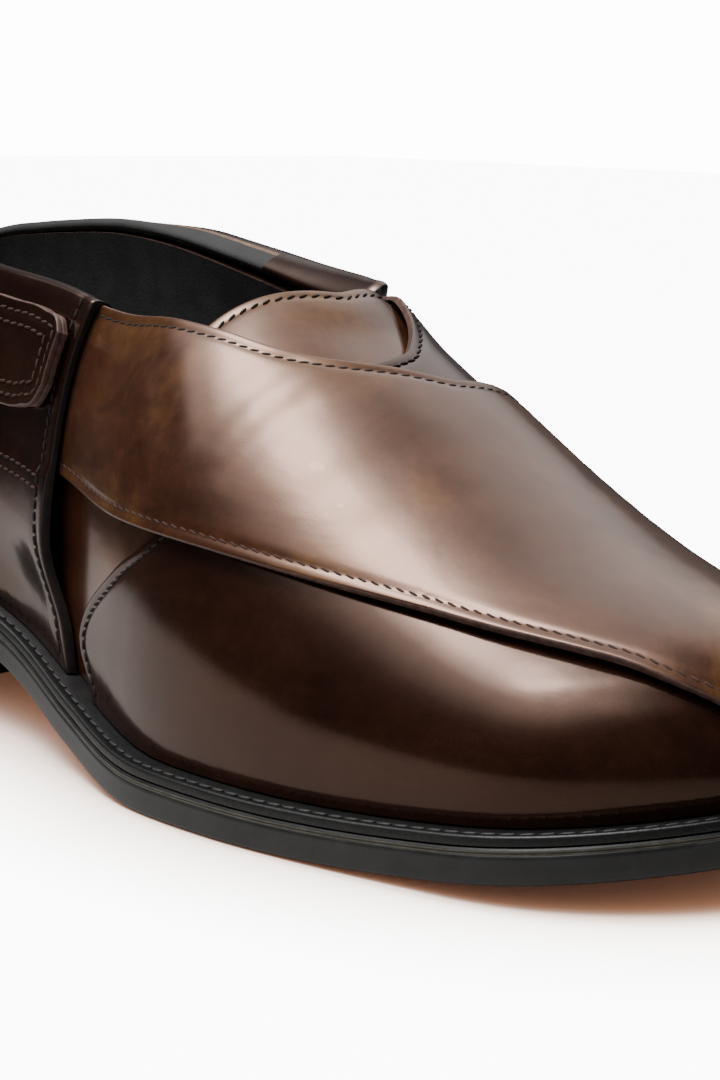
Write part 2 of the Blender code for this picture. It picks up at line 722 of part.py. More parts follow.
def over_strap():
    """From the outer ear across the instep to the inner side and the toe, over the under strap."""
    turn, girth, along, across = strap_domain(OVER_STRAP, -1.0)
    climb = ease((along[:, :1] - CLIMB_STARTS) / CLIMB_RUN)
    turn, girth, kept = with_toe_cap(turn, girth)
    lift = taut(turn, girth, UNDER_LIFT + (OVER_LIFT - UNDER_LIFT) * climb + 0 * turn, kept)
    outer = skin(turn, girth, lift + LEATHER)
    inner = skin(turn, girth, lift)
    half = STRAP_LENGTH_CELLS // 2
    for grid in (outer, inner):
        grid[half + half // 2 + 1:, -1] = grid[half:half + half // 2, -1][::-1]

    def same(number):
        joined = number.copy()
        joined[half + half // 2 + 1:, -1] = number[half:half + half // 2, -1][::-1]
        return joined

    return used_only(sheet(outer, inner, kept, same))


def under_strap():
    """From the inner ear under the over strap to the outer side and round the toe."""
    turn, girth, along, across = strap_domain(UNDER_STRAP, 1.0)
    high = ease((1 - np.abs(girth) - EAR_STAND_RISE) / EAR_STAND_RISE_RUN)
    stand = FAR_EAR_STAND * ease((EAR_STAND_ENDS - station_of(turn)) / EAR_STAND_RUN) * high
    kept = np.ones((STRAP_LENGTH_CELLS, STRAP_WIDTH_CELLS), bool)
    lift = taut(turn, girth, UNDER_LIFT + stand, kept)
    return sheet(skin(turn, girth, lift + LEATHER), skin(turn, girth, lift))


def quarter_lift(turn, girth):
    """Inner face of the quarter: on the lining at the heel, over the strap ears in front."""
    ahead = ease((station_of(turn) - EAR_COVER_STARTS) / (EAR_COVER_FULL - EAR_COVER_STARTS))
    high = ease((1 - np.abs(girth) - EAR_COVER_RISE) / EAR_COVER_RISE_RUN)
    inner_ear = np.where(girth > 0, FAR_EAR_STAND, 0.0) * high
    return UNDER_LIFT + (OVER_LIFT - UNDER_LIFT + inner_ear) * ahead * high


def quarter_seam(turn, girth):
    """Extra thickness of the lower counter under the raised seam."""
    climb = ease((station_of(turn) - SEAM_CLIMB_STARTS) / SEAM_CLIMB_RUN)
    seam = SEAM_RISE_HEEL + (SEAM_RISE_FRONT - SEAM_RISE_HEEL) * climb
    return SEAM_STEP * (1 - ease((1 - np.abs(girth) - seam) / SEAM_SLOPE))


def quarter():
    """Closed heel counter whose top edge is turned over the lining and the strap ears."""
    wall = np.linspace(0, 1, QUARTER_WALL_CELLS + 1)
    fold = np.linspace(0, 1, QUARTER_FOLD_CELLS + 1)[1:]
    rise_share = np.concatenate([wall, np.ones_like(fold)])
    inward = np.concatenate([np.zeros_like(wall), fold])
    rows = len(rise_share)
    around = QUARTER_CELLS + 1
    share = np.linspace(-1, 1, around)
    side = np.where(share < 0, -1.0, 1.0)
    outer = np.empty((around, rows, 3))
    inner = np.empty((around, rows, 3))
    for k in range(rows):
        level = rise_share[k] * QUARTER_FRONT_RISE
        front_outer = turn_of(column(QUARTER_FRONT, QUARTER_FRONT_COLUMNS, "outer station", level))
        front_inner = turn_of(column(QUARTER_FRONT, QUARTER_FRONT_COLUMNS, "inner station", level))
        turn = np.abs(share) * np.where(side < 0, front_outer, front_inner)
        top = collar_rise(turn, side)
        leather = LEATHER / girth_length(turn, side)
        rise_out = top * rise_share[k]
        rise_in = np.minimum(rise_out, top - leather)
        girth_out = side * (1 - rise_out)
        girth_in = side * (1 - rise_in)
        lift_in = quarter_lift(turn, girth_in)
        lift_out = quarter_lift(turn, girth_out) + LEATHER + quarter_seam(turn, girth_out)
        fold_end = FOLD_END_GAP * inward[k]
        outer[:, k] = skin(turn, girth_out, lift_out * (1 - inward[k]) + fold_end)
        inner[:, k] = skin(turn, girth_in, lift_in * (1 - inward[k]) + fold_end)
    return sheet(outer, inner)


def fastening_strap():
    """Doubled strap on the outer quarter, rounded at its tab."""
    along = np.linspace(0, 1, TAB_CELLS + 1)
    across = np.linspace(0, 1, TAB_ACROSS_CELLS + 1)
    turn = turn_of(column(TAB, TAB_COLUMNS, "station", along))[:, None] + 0 * across
    top = column(TAB, TAB_COLUMNS, "top girth", along)[:, None]
    bottom = column(TAB, TAB_COLUMNS, "bottom girth", along)[:, None]
    girth = top * (1 - across) + bottom * across
    lift = quarter_lift(turn, girth) + LEATHER + quarter_seam(turn, girth) + LAYER_GAP
    return sheet(skin(turn, girth, lift + TAB_THICKNESS), skin(turn, girth, lift))


for old in list(bpy.data.objects):
    bpy.data.objects.remove(old, do_unlink=True)

PARTS = bpy.data.collections.new("peshawari_chappal")
bpy.context.scene.collection.children.link(PARTS)

make_object("outsole", outsole(), SOLE_GREY, 0.45)
make_object("heel", heel(), SOLE_GREY, 0.45)
make_object("top_piece", top_piece(), BLACK, 0.7)
make_object("welt", welt(), BLACK, 0.5)
make_object("insole", insole(), TAN, 0.6)
make_object("upper", upper(), BROWN, 0.3)
make_object("under_strap", under_strap(), BROWN, 0.2)
make_object("over_strap", over_strap(), BROWN, 0.2)
make_object("quarter", quarter(), BROWN, 0.2)
make_object("fastening_strap", fastening_strap(), BROWN, 0.2)
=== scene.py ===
"""Looks of the right shoe of a pair: a closed-toe Peshawari chappal in high-shine brown leather.

Metres, +X to the toe, +Y to the inner side, +Z up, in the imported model's own frame.
"""
import math

import bpy
import numpy as np
from mathutils import Matrix, Vector
from mathutils.bvhtree import BVHTree


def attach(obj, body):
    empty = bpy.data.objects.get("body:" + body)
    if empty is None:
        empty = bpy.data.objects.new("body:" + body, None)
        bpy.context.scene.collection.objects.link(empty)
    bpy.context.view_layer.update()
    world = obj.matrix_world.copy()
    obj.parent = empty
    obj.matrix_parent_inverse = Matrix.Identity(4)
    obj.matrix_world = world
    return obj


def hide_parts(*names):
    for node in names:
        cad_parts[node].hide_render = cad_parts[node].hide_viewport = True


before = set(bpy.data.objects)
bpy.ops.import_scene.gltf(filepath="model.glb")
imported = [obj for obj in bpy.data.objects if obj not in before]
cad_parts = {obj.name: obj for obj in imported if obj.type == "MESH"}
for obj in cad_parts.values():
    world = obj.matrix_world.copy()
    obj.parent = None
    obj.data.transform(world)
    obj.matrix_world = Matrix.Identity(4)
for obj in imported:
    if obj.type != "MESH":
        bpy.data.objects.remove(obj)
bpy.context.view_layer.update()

MM = 0.001
TINY = 1e-9

# Driving sizes
SHOE_LENGTH = 300 * MM
BALL_WIDTH = 105 * MM
HEEL_RISE = 21.9 * MM
TOE_SPRING = 9.1 * MM
INSTEP_HEIGHT = 88 * MM

# Sole edge, bottom to top
OUTSOLE_EDGE = 6.6 * MM
WELT_EDGE = 1.8 * MM
LAP_GAP = 0.35 * MM
SOLE_EDGE = OUTSOLE_EDGE + LAP_GAP + WELT_EDGE
SEAT = SOLE_EDGE + LAP_GAP
INSOLE_THICKNESS = 2.4 * MM
INSOLE_CLEARANCE = 0.8 * MM
WELT_SETBACK = 0.4 * MM
WELT_ROUND = 0.5 * MM
WELT_WIDTH = 12.0 * MM

# Where the ground line leaves the floor, as shares of the length
HEEL_BREAST = 0.26
WAIST_LEAVES_HEEL = 0.25
FLAT_STARTS = 0.617
FLAT_ENDS = 0.70

# The last inside the sole's edge
LAST_INSET = 9.6 * MM
RAISED_MIDDLE_STEP = 3.2 * MM
RAISED_MIDDLE_INSET = LAST_INSET + RAISED_MIDDLE_STEP
RAISED_MIDDLE_SLOPE = 0.3 * MM
HEEL_END_REACH = 0.125
TOE_END_REACH = 0.15
HEEL_CONE_INSET = 40 * MM
TOE_CONE_INSET = 12 * MM
LAST_GIRTH_SAMPLES = 61
OUTLINE_TURNS = 201
SETTLED_RISE = 0.12
EDGE_STEP = 0.001
RIDGE_STEP = 0.004
TURN_STEP = 0.012
GIRTH_STEP = 0.02

# Inside the toe, the middle of its round: leather stands away from it in front
TOE_CORE_STATION = 0.863
TOE_CORE_RISE = 0.06
TOE_CORE_STARTS = 0.90
TOE_CORE_FULL = 0.95

# Leather
WALL = 1.6 * MM
LEATHER = 1.5 * MM
TAB_THICKNESS = 2.6 * MM
LAYER_GAP = 0.8 * MM
UNDER_LIFT = WALL + LAYER_GAP
CROSSING_GAP = 1.1 * MM
OVER_LIFT = UNDER_LIFT + LEATHER + CROSSING_GAP
TOP_FOLD = LEATHER + LAYER_GAP
FOLD_END_GAP = 0.15 * MM
SEAM_STEP = 0.7 * MM
FAR_EAR_STAND = 2.4 * MM

# Where the over strap climbs on the under strap, as shares along it
CLIMB_STARTS = 0.10
CLIMB_RUN = 0.12

# Where the ear of the under strap stands off the ankle: station and rise over the seat
EAR_STAND_ENDS = 0.615
EAR_STAND_RUN = 0.07
EAR_STAND_RISE = 0.45
EAR_STAND_RISE_RUN = 0.20

HEEL_TAPER = 2.0 * MM
HEEL_BOW = 5.0 * MM
HEEL_SETBACK = 0.6 * MM
TOP_PIECE = 6.0 * MM
TOP_PIECE_BEVEL = 0.6 * MM

# Throat of the upper: its station, and how far it slants forward on the inner side
THROAT_STATION = 0.528
THROAT_SKEW = 0.030
THROAT_SKEW_GIRTH = 0.3

# Where the quarter starts to cover the ears of the straps: station, and rise over the seat
EAR_COVER_STARTS = 0.29
EAR_COVER_FULL = 0.37
EAR_COVER_RISE = 0.08
EAR_COVER_RISE_RUN = 0.16

# Raised seam of the quarter: its rise at the heel and in front, where it climbs, and its slope
SEAM_RISE_HEEL = 0.27
SEAM_RISE_FRONT = 0.355
SEAM_CLIMB_STARTS = 0.25
SEAM_CLIMB_RUN = 0.20
SEAM_SLOPE = 0.02


def smooth_table(names, rows):
    """A table whose named columns are read as smooth curves over its first column."""
    table = np.array(rows)
    xs = table[:, 0]
    step = np.diff(xs)
    share = step[:-1] / (step[:-1] + step[1:])

    def read(name, at):
        ys = table[:, names.index(name)]
        slope = np.diff(ys) / step
        inner = slope[:-1] * (1 - share) + slope[1:] * share
        tangent = np.concatenate([slope[:1], inner, slope[-1:]])
        at = np.clip(at, xs[0], xs[-1])
        row = np.clip(np.searchsorted(xs, at, side="right") - 1, 0, len(xs) - 2)
        t = (at - xs[row]) / step[row]
        rise = (1 + 2 * t) * (1 - t) ** 2 * ys[row] + t ** 2 * (3 - 2 * t) * ys[row + 1]
        lean = t * (1 - t) ** 2 * tangent[row] + t ** 2 * (t - 1) * tangent[row + 1]
        return rise + step[row] * lean

    return read


# Outline of the sole: station and middle are shares of the length and ball width,
# the halves are half widths as shares of the ball width
plan_curve = smooth_table(("station", "outer half", "inner half", "middle"), [
    (0.00, 0.340, 0.340, 0.000),
    (0.10, 0.357, 0.357, 0.000),
    (0.20, 0.352, 0.350, 0.000),
    (0.30, 0.335, 0.330, 0.000),
    (0.40, 0.345, 0.318, 0.000),
    (0.50, 0.422, 0.340, 0.000),
    (0.60, 0.503, 0.395, 0.000),
    (0.68, 0.517, 0.445, 0.003),
    (0.77, 0.500, 0.465, 0.014),
    (0.85, 0.470, 0.447, 0.024),
    (0.92, 0.447, 0.410, 0.031),
    (1.00, 0.400, 0.362, 0.038),
])

# Top line of the last: height over the seat as a share of the instep height,
# shift to the inner side as a share of the ball width
ridge_curve = smooth_table(("station", "height", "shift"), [
    (0.13, 1.06, 0.000),
    (0.25, 1.06, 0.000),
    (0.35, 1.05, 0.010),
    (0.50, 1.00, 0.020),
    (0.583, 0.94, 0.040),
    (0.667, 0.77, 0.060),
    (0.75, 0.59, 0.060),
    (0.833, 0.43, 0.050),
    (0.89, 0.345, 0.035),
    (0.925, 0.285, 0.020),
    (0.945, 0.230, 0.014),
    (0.96, 0.16, 0.010),
])

# Cross sections: squareness of each side (2 is an ellipse) and its swell in millimetres
SECTION_COLUMNS = ("station", "outer squareness", "inner squareness", "outer swell", "inner swell")
section_curve = smooth_table(SECTION_COLUMNS, [
    (0.00, 3.2, 3.2, 1.6, 1.6),
    (0.30, 3.0, 3.6, 1.2, 2.5),
    (0.50, 2.7, 4.8, 1.5, 4.5),
    (0.60, 2.6, 3.4, 1.8, 3.2),
    (0.75, 2.3, 2.4, 2.2, 2.2),
    (0.90, 2.3, 2.3, 2.2, 2.0),
    (1.00, 2.4, 2.4, 1.8, 1.8),
])

# Collar line of the quarter: share of the way from seat to ridge
collar_curve = smooth_table(("station", "outer rise", "inner rise"), [
    (0.00, 0.565, 0.565),
    (0.10, 0.575, 0.585),
    (0.20, 0.600, 0.610),
    (0.33, 0.640, 0.665),
    (0.41, 0.690, 0.715),
    (0.50, 0.705, 0.790),
    (0.53, 0.710, 0.815),
])

# Front edge of the quarter from seat to collar
QUARTER_FRONT_RISE = 0.72
front_curve = smooth_table(("rise", "outer station", "inner station"), [
    (0.00, 0.465, 0.470),
    (0.08, 0.460, 0.470),
    (0.20, 0.446, 0.462),
    (0.45, 0.445, 0.490),
    (0.75, 0.440, 0.540),
])

# A crossed strap seen from its ear: along runs from the ear to the lasted edge, stations are shares
# of the length, girth runs from -1 at the ear's seat over the ridge to 1 at the far seat
STRAP_COLUMNS = ("along", "rear station", "rear girth", "front station", "front girth")
over_curve = smooth_table(STRAP_COLUMNS, [
    (0.00, 0.395, -0.335, 0.400, -0.660),
    (0.09, 0.446, -0.318, 0.451, -0.635),
    (0.18, 0.499, -0.285, 0.533, -0.620),
    (0.27, 0.552, -0.265, 0.605, -0.603),
    (0.36, 0.595, -0.230, 0.683, -0.586),
    (0.44, 0.618, -0.155, 0.748, -0.562),
    (0.50, 0.638, -0.060, 0.800, -0.541),
    (0.57, 0.650, 0.060, 0.800, -0.385),
    (0.63, 0.658, 0.180, 0.800, -0.257),
    (0.70, 0.650, 0.350, 0.800, -0.107),
    (0.79, 0.600, 0.580, 0.800, 0.160),
    (0.86, 0.537, 0.715, 0.800, 0.440),
    (0.92, 0.494, 0.835, 0.800, 0.680),
    (0.96, 0.484, 0.910, 0.800, 0.840),
    (1.00, 0.504, 1.000, 0.800, 1.000),
])
under_curve = smooth_table(STRAP_COLUMNS, [
    (0.00, 0.480, -0.262, 0.400, -0.660),
    (0.09, 0.530, -0.210, 0.451, -0.635),
    (0.18, 0.561, -0.152, 0.533, -0.620),
    (0.27, 0.588, -0.103, 0.605, -0.580),
    (0.36, 0.606, -0.040, 0.670, -0.500),
    (0.44, 0.620, 0.050, 0.725, -0.360),
    (0.51, 0.628, 0.140, 0.785, -0.200),
    (0.57, 0.635, 0.230, 0.845, -0.030),
    (0.63, 0.635, 0.330, 0.905, 0.100),
    (0.70, 0.620, 0.470, 0.960, 0.200),
    (0.79, 0.581, 0.620, 1.000, 0.280),
    (0.86, 0.537, 0.715, 1.022, 0.450),
    (0.92, 0.494, 0.835, 1.045, 0.660),
    (0.96, 0.484, 0.910, 1.060, 0.820),
    (1.00, 0.504, 1.000, 1.075, 1.000),
])

# Lower edge of the over strap round the toe, from the cap's rear line to the toe tip
TOE_CAP_STATION = 0.800
cap_curve = smooth_table(("along", "outer girth", "inner girth"), [
    (0.00, 0.541, 1.000),
    (0.16, 0.524, 1.000),
    (0.36, 0.498, 1.000),
    (0.51, 0.475, 1.000),
    (0.62, 0.455, 0.860),
    (0.75, 0.440, 0.620),
    (0.88, 0.432, 0.470),
    (1.00, 0.430, 0.430),
])

# Fastening strap on the outer side of the quarter, from its sewn end to its tab
tab_curve = smooth_table(("along", "station", "top girth", "bottom girth"), [
    (0.00, 0.090, -0.490, -0.620),
    (0.25, 0.180, -0.480, -0.640),
    (0.50, 0.270, -0.450, -0.635),
    (0.80, 0.375, -0.385, -0.580),
    (0.93, 0.412, -0.365, -0.545),
    (0.98, 0.428, -0.368, -0.515),
    (1.00, 0.434, -0.385, -0.480),
])


def ease(value):
    """0 below 0, 1 above 1, smooth between."""
    t = np.clip(value, 0, 1)
    return t * t * (3 - 2 * t)


def of_side(curve, name, side, at):
    """The outer or the inner column of a table, by the side that each point is on."""
    return np.where(side < 0, curve("outer " + name, at), curve("inner " + name, at))


def station_of(turn):
    """Share of the length at a turn round the outline: 0 heel tip, 1 toe tip."""
    return (1 - np.cos(np.pi * turn)) / 2


def turn_of(station):
    """Turn at a station; a station over 1 lies past the toe tip, on the other side."""
    station = np.asarray(station, dtype=float)
    back = np.where(station > 1, 2 - station, station)
    turn = np.arccos(1 - 2 * back) / np.pi
    return np.where(station > 1, 2 - turn, turn)


def fold_back(turn, girth):
    """Turns past either tip come back on the other side."""
    past = (turn < 0) | (turn > 1)
    turn = np.where(turn < 0, -turn, np.where(turn > 1, 2 - turn, turn))
    return turn, np.where(past, -girth, girth)


def edge_point(turn, side):
    """Point of the sole's outline."""
    turn, side = fold_back(turn, side)
    station = station_of(turn)
    heel = np.clip(station / HEEL_END_REACH, 0, 1)
    toe = np.clip((1 - station) / TOE_END_REACH, 0, 1)
    tips = np.sqrt(np.clip(1 - (1 - heel) ** 2, 0, 1)) * np.sqrt(np.clip(1 - (1 - toe) ** 2, 0, 1))
    half = np.where(side < 0, -1.0, 1.0) * of_side(plan_curve, "half", side, station) * tips
    return np.stack([SHOE_LENGTH * station, (plan_curve("middle", station) + half) * BALL_WIDTH], -1)


def plan_point(turn, side, inset):
    """Point of the outline moved inwards, square to the edge."""
    along = edge_point(turn + EDGE_STEP, side) - edge_point(turn - EDGE_STEP, side)
    along = along / np.linalg.norm(along, axis=-1, keepdims=True)
    outward = np.stack([-along[..., 1], along[..., 0]], -1)
    outward = outward * np.where(side < 0, -1.0, 1.0)[..., None]
    return edge_point(turn, side) - inset * outward


def ground_z(x):
    """Underside of the outsole: arched waist, flat forefoot, toe spring."""
    share = x / SHOE_LENGTH
    waist = ease((FLAT_STARTS - share) / (FLAT_STARTS - WAIST_LEAVES_HEEL))
    toe = np.clip((share - FLAT_ENDS) / (1 - FLAT_ENDS), 0, 1)
    return HEEL_RISE * waist + TOE_SPRING * toe ** 2


def ridge_z(station):
    height = ridge_curve("height", station) * INSTEP_HEIGHT
    return ground_z(station * SHOE_LENGTH) + SEAT + height


def profile(turn, girth):
    """Half section of the last from seat to ridge, sampled along its girth."""
    side = np.where(girth < 0, -1.0, 1.0)
    foot = plan_point(turn, side, LAST_INSET)
    reach = SHOE_LENGTH - HEEL_CONE_INSET - TOE_CONE_INSET
    top_x = HEEL_CONE_INSET + station_of(turn) * reach
    station = top_x / SHOE_LENGTH
    shift = plan_curve("middle", station) + ridge_curve("shift", station)
    top = np.stack([top_x, shift * BALL_WIDTH], -1)
    slope = (ridge_z(station + RIDGE_STEP) - ridge_z(station - RIDGE_STEP)) / (2 * RIDGE_STEP * SHOE_LENGTH)
    foot_z = (ground_z(foot[..., 0]) + SEAT)[..., None]
    power = 2 / of_side(section_curve, "squareness", side, station)[..., None]
    swell = of_side(section_curve, "swell", side, station)[..., None] * MM
    angle = np.linspace(0, np.pi / 2, LAST_GIRTH_SAMPLES)
    across = np.cos(angle) ** power
    across[..., -1] = 0
    up = np.sin(angle) ** power
    run = np.linalg.norm(top - foot, axis=-1)[..., None]
    outward = (foot - top) / run
    out = run * across + swell * np.sin(np.pi * up)
    tilt = (slope * outward[..., 0])[..., None] * out * up ** 2
    height = foot_z + (ridge_z(station)[..., None] - foot_z) * up + tilt
    return top, outward, out, height


# The last as a fine lattice, smoothed so that reflections run over it without kinks
LATTICE_TURN = 0.0025
LATTICE_GIRTHS = 160
LATTICE_START = -0.15
LATTICE_END = 1.22
TURN_BLUR = 4.0
# Each side with the order that takes a row of both sides from that side's seat
SIDE_ORDERS = ((-1.0, slice(None)), (1.0, slice(None, None, -1)))


def blur_matrix(count, spread):
    """Rows of weights that average each item with its neighbours."""
    index = np.arange(count)
    weight = np.exp(-0.5 * ((index[:, None] - index[None]) / spread) ** 2)
    return weight / weight.sum(1, keepdims=True)


def last_lattice():
    turns = np.arange(LATTICE_START, LATTICE_END, LATTICE_TURN)
    up = np.linspace(0, 1, LATTICE_GIRTHS + 1)
    lattice = np.empty((len(turns), 2 * LATTICE_GIRTHS + 1, 3))
    for side, order in SIDE_ORDERS:
        top, outward, out, height = profile(*fold_back(turns, np.full_like(turns, side)))
        piece = np.hypot(np.diff(out, axis=-1), np.diff(height, axis=-1))
        arc = np.concatenate([np.zeros_like(out[:, :1]), np.cumsum(piece, axis=-1)], axis=-1)
        half = lattice[:, order][:, :LATTICE_GIRTHS + 1]
        for i in range(len(turns)):
            want = up * arc[i, -1]
            half[i, :, :2] = top[i] + outward[i] * np.interp(want, arc[i], out[i])[:, None]
            half[i, :, 2] = np.interp(want, arc[i], height[i])
    blurred = np.tensordot(blur_matrix(len(turns), TURN_BLUR), lattice, axes=1)
    across = blurred.copy()
    for shift in (-2, -1, 1, 2):
        across[:, 2:-2] += blurred[:, 2 + shift:blurred.shape[1] - 2 + shift]
    # The middle and its four neighbours
    across[:, 2:-2] /= 5
    return across


LATTICE = last_lattice()


def cubic_weights(t):
    """Weights of four neighbours for a smooth curve through them."""
    return np.stack([
        ((2 - t) * t - 1) * t / 2,
        ((3 * t - 5) * t * t + 2) / 2,
        ((4 - 3 * t) * t + 1) * t / 2,
        (t - 1) * t * t / 2,
    ])


def last_point(turn, girth):
    """Point of the last: turn 0 heel to 1 toe, girth -1 outer seat, 0 ridge, 1 inner seat."""
    turn, girth = np.broadcast_arrays(turn, girth)
    u = np.clip((turn - LATTICE_START) / LATTICE_TURN, 1, LATTICE.shape[0] - 3)
    v = np.clip((girth + 1) * LATTICE_GIRTHS, 0, 2 * LATTICE_GIRTHS)
    row = np.floor(u).astype(int)
    place = np.clip(np.floor(v).astype(int), 0, 2 * LATTICE_GIRTHS - 1)
    along = cubic_weights(u - row)
    around = cubic_weights(v - place)
    point = np.zeros(turn.shape + (3,))
    for i in range(4):
        for j in range(4):
            corner = np.clip(place + j - 1, 0, 2 * LATTICE_GIRTHS)
            point += (along[i] * around[j])[..., None] * LATTICE[row + i - 1, corner]
    return point


def girth_length(turn, girth):
    """Length of the half section from seat to ridge."""
    top, outward, out, height = profile(*fold_back(*np.broadcast_arrays(turn, girth)))
    return np.hypot(np.diff(out, axis=-1), np.diff(height, axis=-1)).sum(-1)


def toe_core():
    """Point inside the toe that its leather stands away from."""
    x = TOE_CORE_STATION * SHOE_LENGTH
    y = plan_curve("middle", TOE_CORE_STATION) * BALL_WIDTH
    return np.array([x, y, ground_z(x) + SEAT + TOE_CORE_RISE * INSTEP_HEIGHT])


def unit(vector):
    return vector / np.maximum(np.linalg.norm(vector, axis=-1, keepdims=True), TINY)


def skin_normal(turn, girth):
    """Outward direction of the leather, level where it settles on the seat."""
    along = last_point(turn + TURN_STEP, girth) - last_point(turn - TURN_STEP, girth)
    ahead = np.clip(girth + GIRTH_STEP, -1, 1)
    behind = np.clip(girth - GIRTH_STEP, -1, 1)
    square = unit(np.cross(along, last_point(turn, ahead) - last_point(turn, behind)))
    base = last_point(turn, girth)
    at_toe = ease((base[..., 0] / SHOE_LENGTH - TOE_CORE_STARTS) / (TOE_CORE_FULL - TOE_CORE_STARTS))
    normal = square + (unit(base - toe_core()) - square) * at_toe[..., None]
    settle = np.clip((1 - np.abs(girth)) / SETTLED_RISE, 0, 1)
    normal[..., 2] = normal[..., 2] * settle
    return unit(normal), base, settle


def skin(turn, girth, lift):
    """Point at a height of leather over the last."""
    turn, girth, lift = np.broadcast_arrays(turn, girth, lift)
    normal, base, settle = skin_normal(turn, girth)
    point = base + normal * lift[..., None]
    point[..., 2] += (1 - settle) * (ground_z(point[..., 0]) - ground_z(base[..., 0]))
    return point


def floor_middle():
    """Middle of the sole's outline: the frame's origin."""
    turns = np.linspace(0, 1, OUTLINE_TURNS)
    outline = np.concatenate([edge_point(turns, np.full_like(turns, side)) for side in (-1.0, 1.0)])
    middle = (outline.min(axis=0) + outline.max(axis=0)) / 2
    return np.array([middle[0], middle[1], 0.0])


ORIGIN = floor_middle()


# Mesh helpers
def mesh_piece(name, points, faces, slots, materials, body="root"):
    """Adds a smooth-shaded piece that rides on the shoe; slots gives each face its material."""
    mesh = bpy.data.meshes.new(name)
    mesh.from_pydata([tuple(p) for p in np.asarray(points) - ORIGIN], [], faces)
    for one in materials:
        mesh.materials.append(one)
    mesh.polygons.foreach_set("material_index", np.asarray(slots, dtype=np.int32))
    mesh.update()
    mesh.shade_smooth()
    mesh.set_sharp_from_angle(angle=SHARP_ANGLE)
    piece = bpy.data.objects.new(name, mesh)
    bpy.context.scene.collection.objects.link(piece)
    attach(piece, body)
    return piece


SHARP_ANGLE = math.radians(52)
OUTSIDE, INSIDE, CUT = 0, 1, 2
EDGE_CELLS = 2
DISTANCE_BATCH = 1000


def wall(outer, inner, cell_slots, kept=None, joins=()):
    """Closed leather wall between two grids: points, faces and a material slot for each face.

    Only the kept cells are made. Each join is a place of the grids and the place whose points it takes.
    """
    rows, across = outer.shape[:2]
    count = rows * across
    number = np.arange(count).reshape(rows, across)
    for place, like in joins:
        for grid in (outer, inner, number):
            grid[place] = grid[like]
    if kept is None:
        kept = np.ones((rows - 1, across - 1), bool)
    faces = []
    slots = []
    borders = {}
    for i, j in zip(*np.nonzero(kept)):
        ring = [int(number[i, j]), int(number[i + 1, j]), int(number[i + 1, j + 1]), int(number[i, j + 1])]
        ring = [v for k, v in enumerate(ring) if v != ring[k - 1]]
        if len(ring) < 3:
            continue
        faces += [ring, [v + count for v in reversed(ring)]]
        slots += [int(cell_slots[i, j]), INSIDE]
        for a, b in zip(ring, ring[1:] + ring[:1]):
            if (b, a) in borders:
                del borders[(b, a)]
            else:
                borders[(a, b)] = True
    faces += [[b, a, a + count, b + count] for a, b in borders]
    slots += [CUT] * len(borders)
    return *only_used(np.concatenate([outer.reshape(-1, 3), inner.reshape(-1, 3)]), faces), slots


def only_used(points, faces):
    """The points that faces use, and the faces by their new numbers."""
    used = np.unique(np.concatenate([np.array(face) for face in faces]))
    place = np.zeros(len(points), int)
    place[used] = np.arange(len(used))
    return points[used], [[int(place[v]) for v in face] for face in faces]


def cells_at(mask):
    """Cells that have a corner in the mask."""
    return mask[:-1, :-1] | mask[1:, :-1] | mask[:-1, 1:] | mask[1:, 1:]


def path_distance(points, path):
    """Distance of each point to a line of straight runs."""
    flat = points.reshape(-1, 3)
    run = path[1:] - path[:-1]
    square = np.maximum((run ** 2).sum(-1), TINY ** 2)
    nearest = np.empty(len(flat))
    for first in range(0, len(flat), DISTANCE_BATCH):
        part = flat[first:first + DISTANCE_BATCH, None] - path[None, :-1]
        t = np.clip((part * run).sum(-1) / square, 0, 1)
        nearest[first:first + DISTANCE_BATCH] = np.linalg.norm(part - t[..., None] * run, axis=-1).min(1)
    return nearest.reshape(points.shape[:-1])


def rounded(distance):
    """How far a skived edge falls away from the face of the leather."""
    inside = np.clip(EDGE_ROUND - distance, 0, EDGE_ROUND)
    return EDGE_ROUND - np.sqrt(EDGE_ROUND ** 2 - inside ** 2)


def seam_trough(distance):
    """Depth of the leather where a row of stitches pulls it in."""
    return TROUGH_DEPTH * np.exp(-((distance - STITCH_INSET) / TROUGH_WIDTH) ** 2)


def edge_fall(distance):
    return rounded(distance) + seam_trough(distance)


EDGE_ROUND = 0.5 * MM
STITCH_INSET = 2.3 * MM
TROUGH_DEPTH = 0.18 * MM
TROUGH_WIDTH = 0.8 * MM
SEWN_FACE = LEATHER - TROUGH_DEPTH
EDGE_OFFSETS = np.array([0, 0.05, 0.14, 0.3, 0.5, 0.8, 1.2, 1.6, 1.95, 2.3, 2.65, 3.0, 3.6, 4.6]) * MM


def edge_shares(width, middle):
    """Shares across a strap: fine beside both edges, even between them."""
    near = EDGE_OFFSETS / width[:, None]
    first = near[:, -1:]
    inside = first + (1 - 2 * first) * np.linspace(0, 1, middle + 2)[1:-1]
    return np.hstack([near, inside, 1 - near[:, ::-1]])


# Threads
STITCH_SIDES = 8
STITCH_RINGS = 5
THREAD_FULLNESS = 0.6


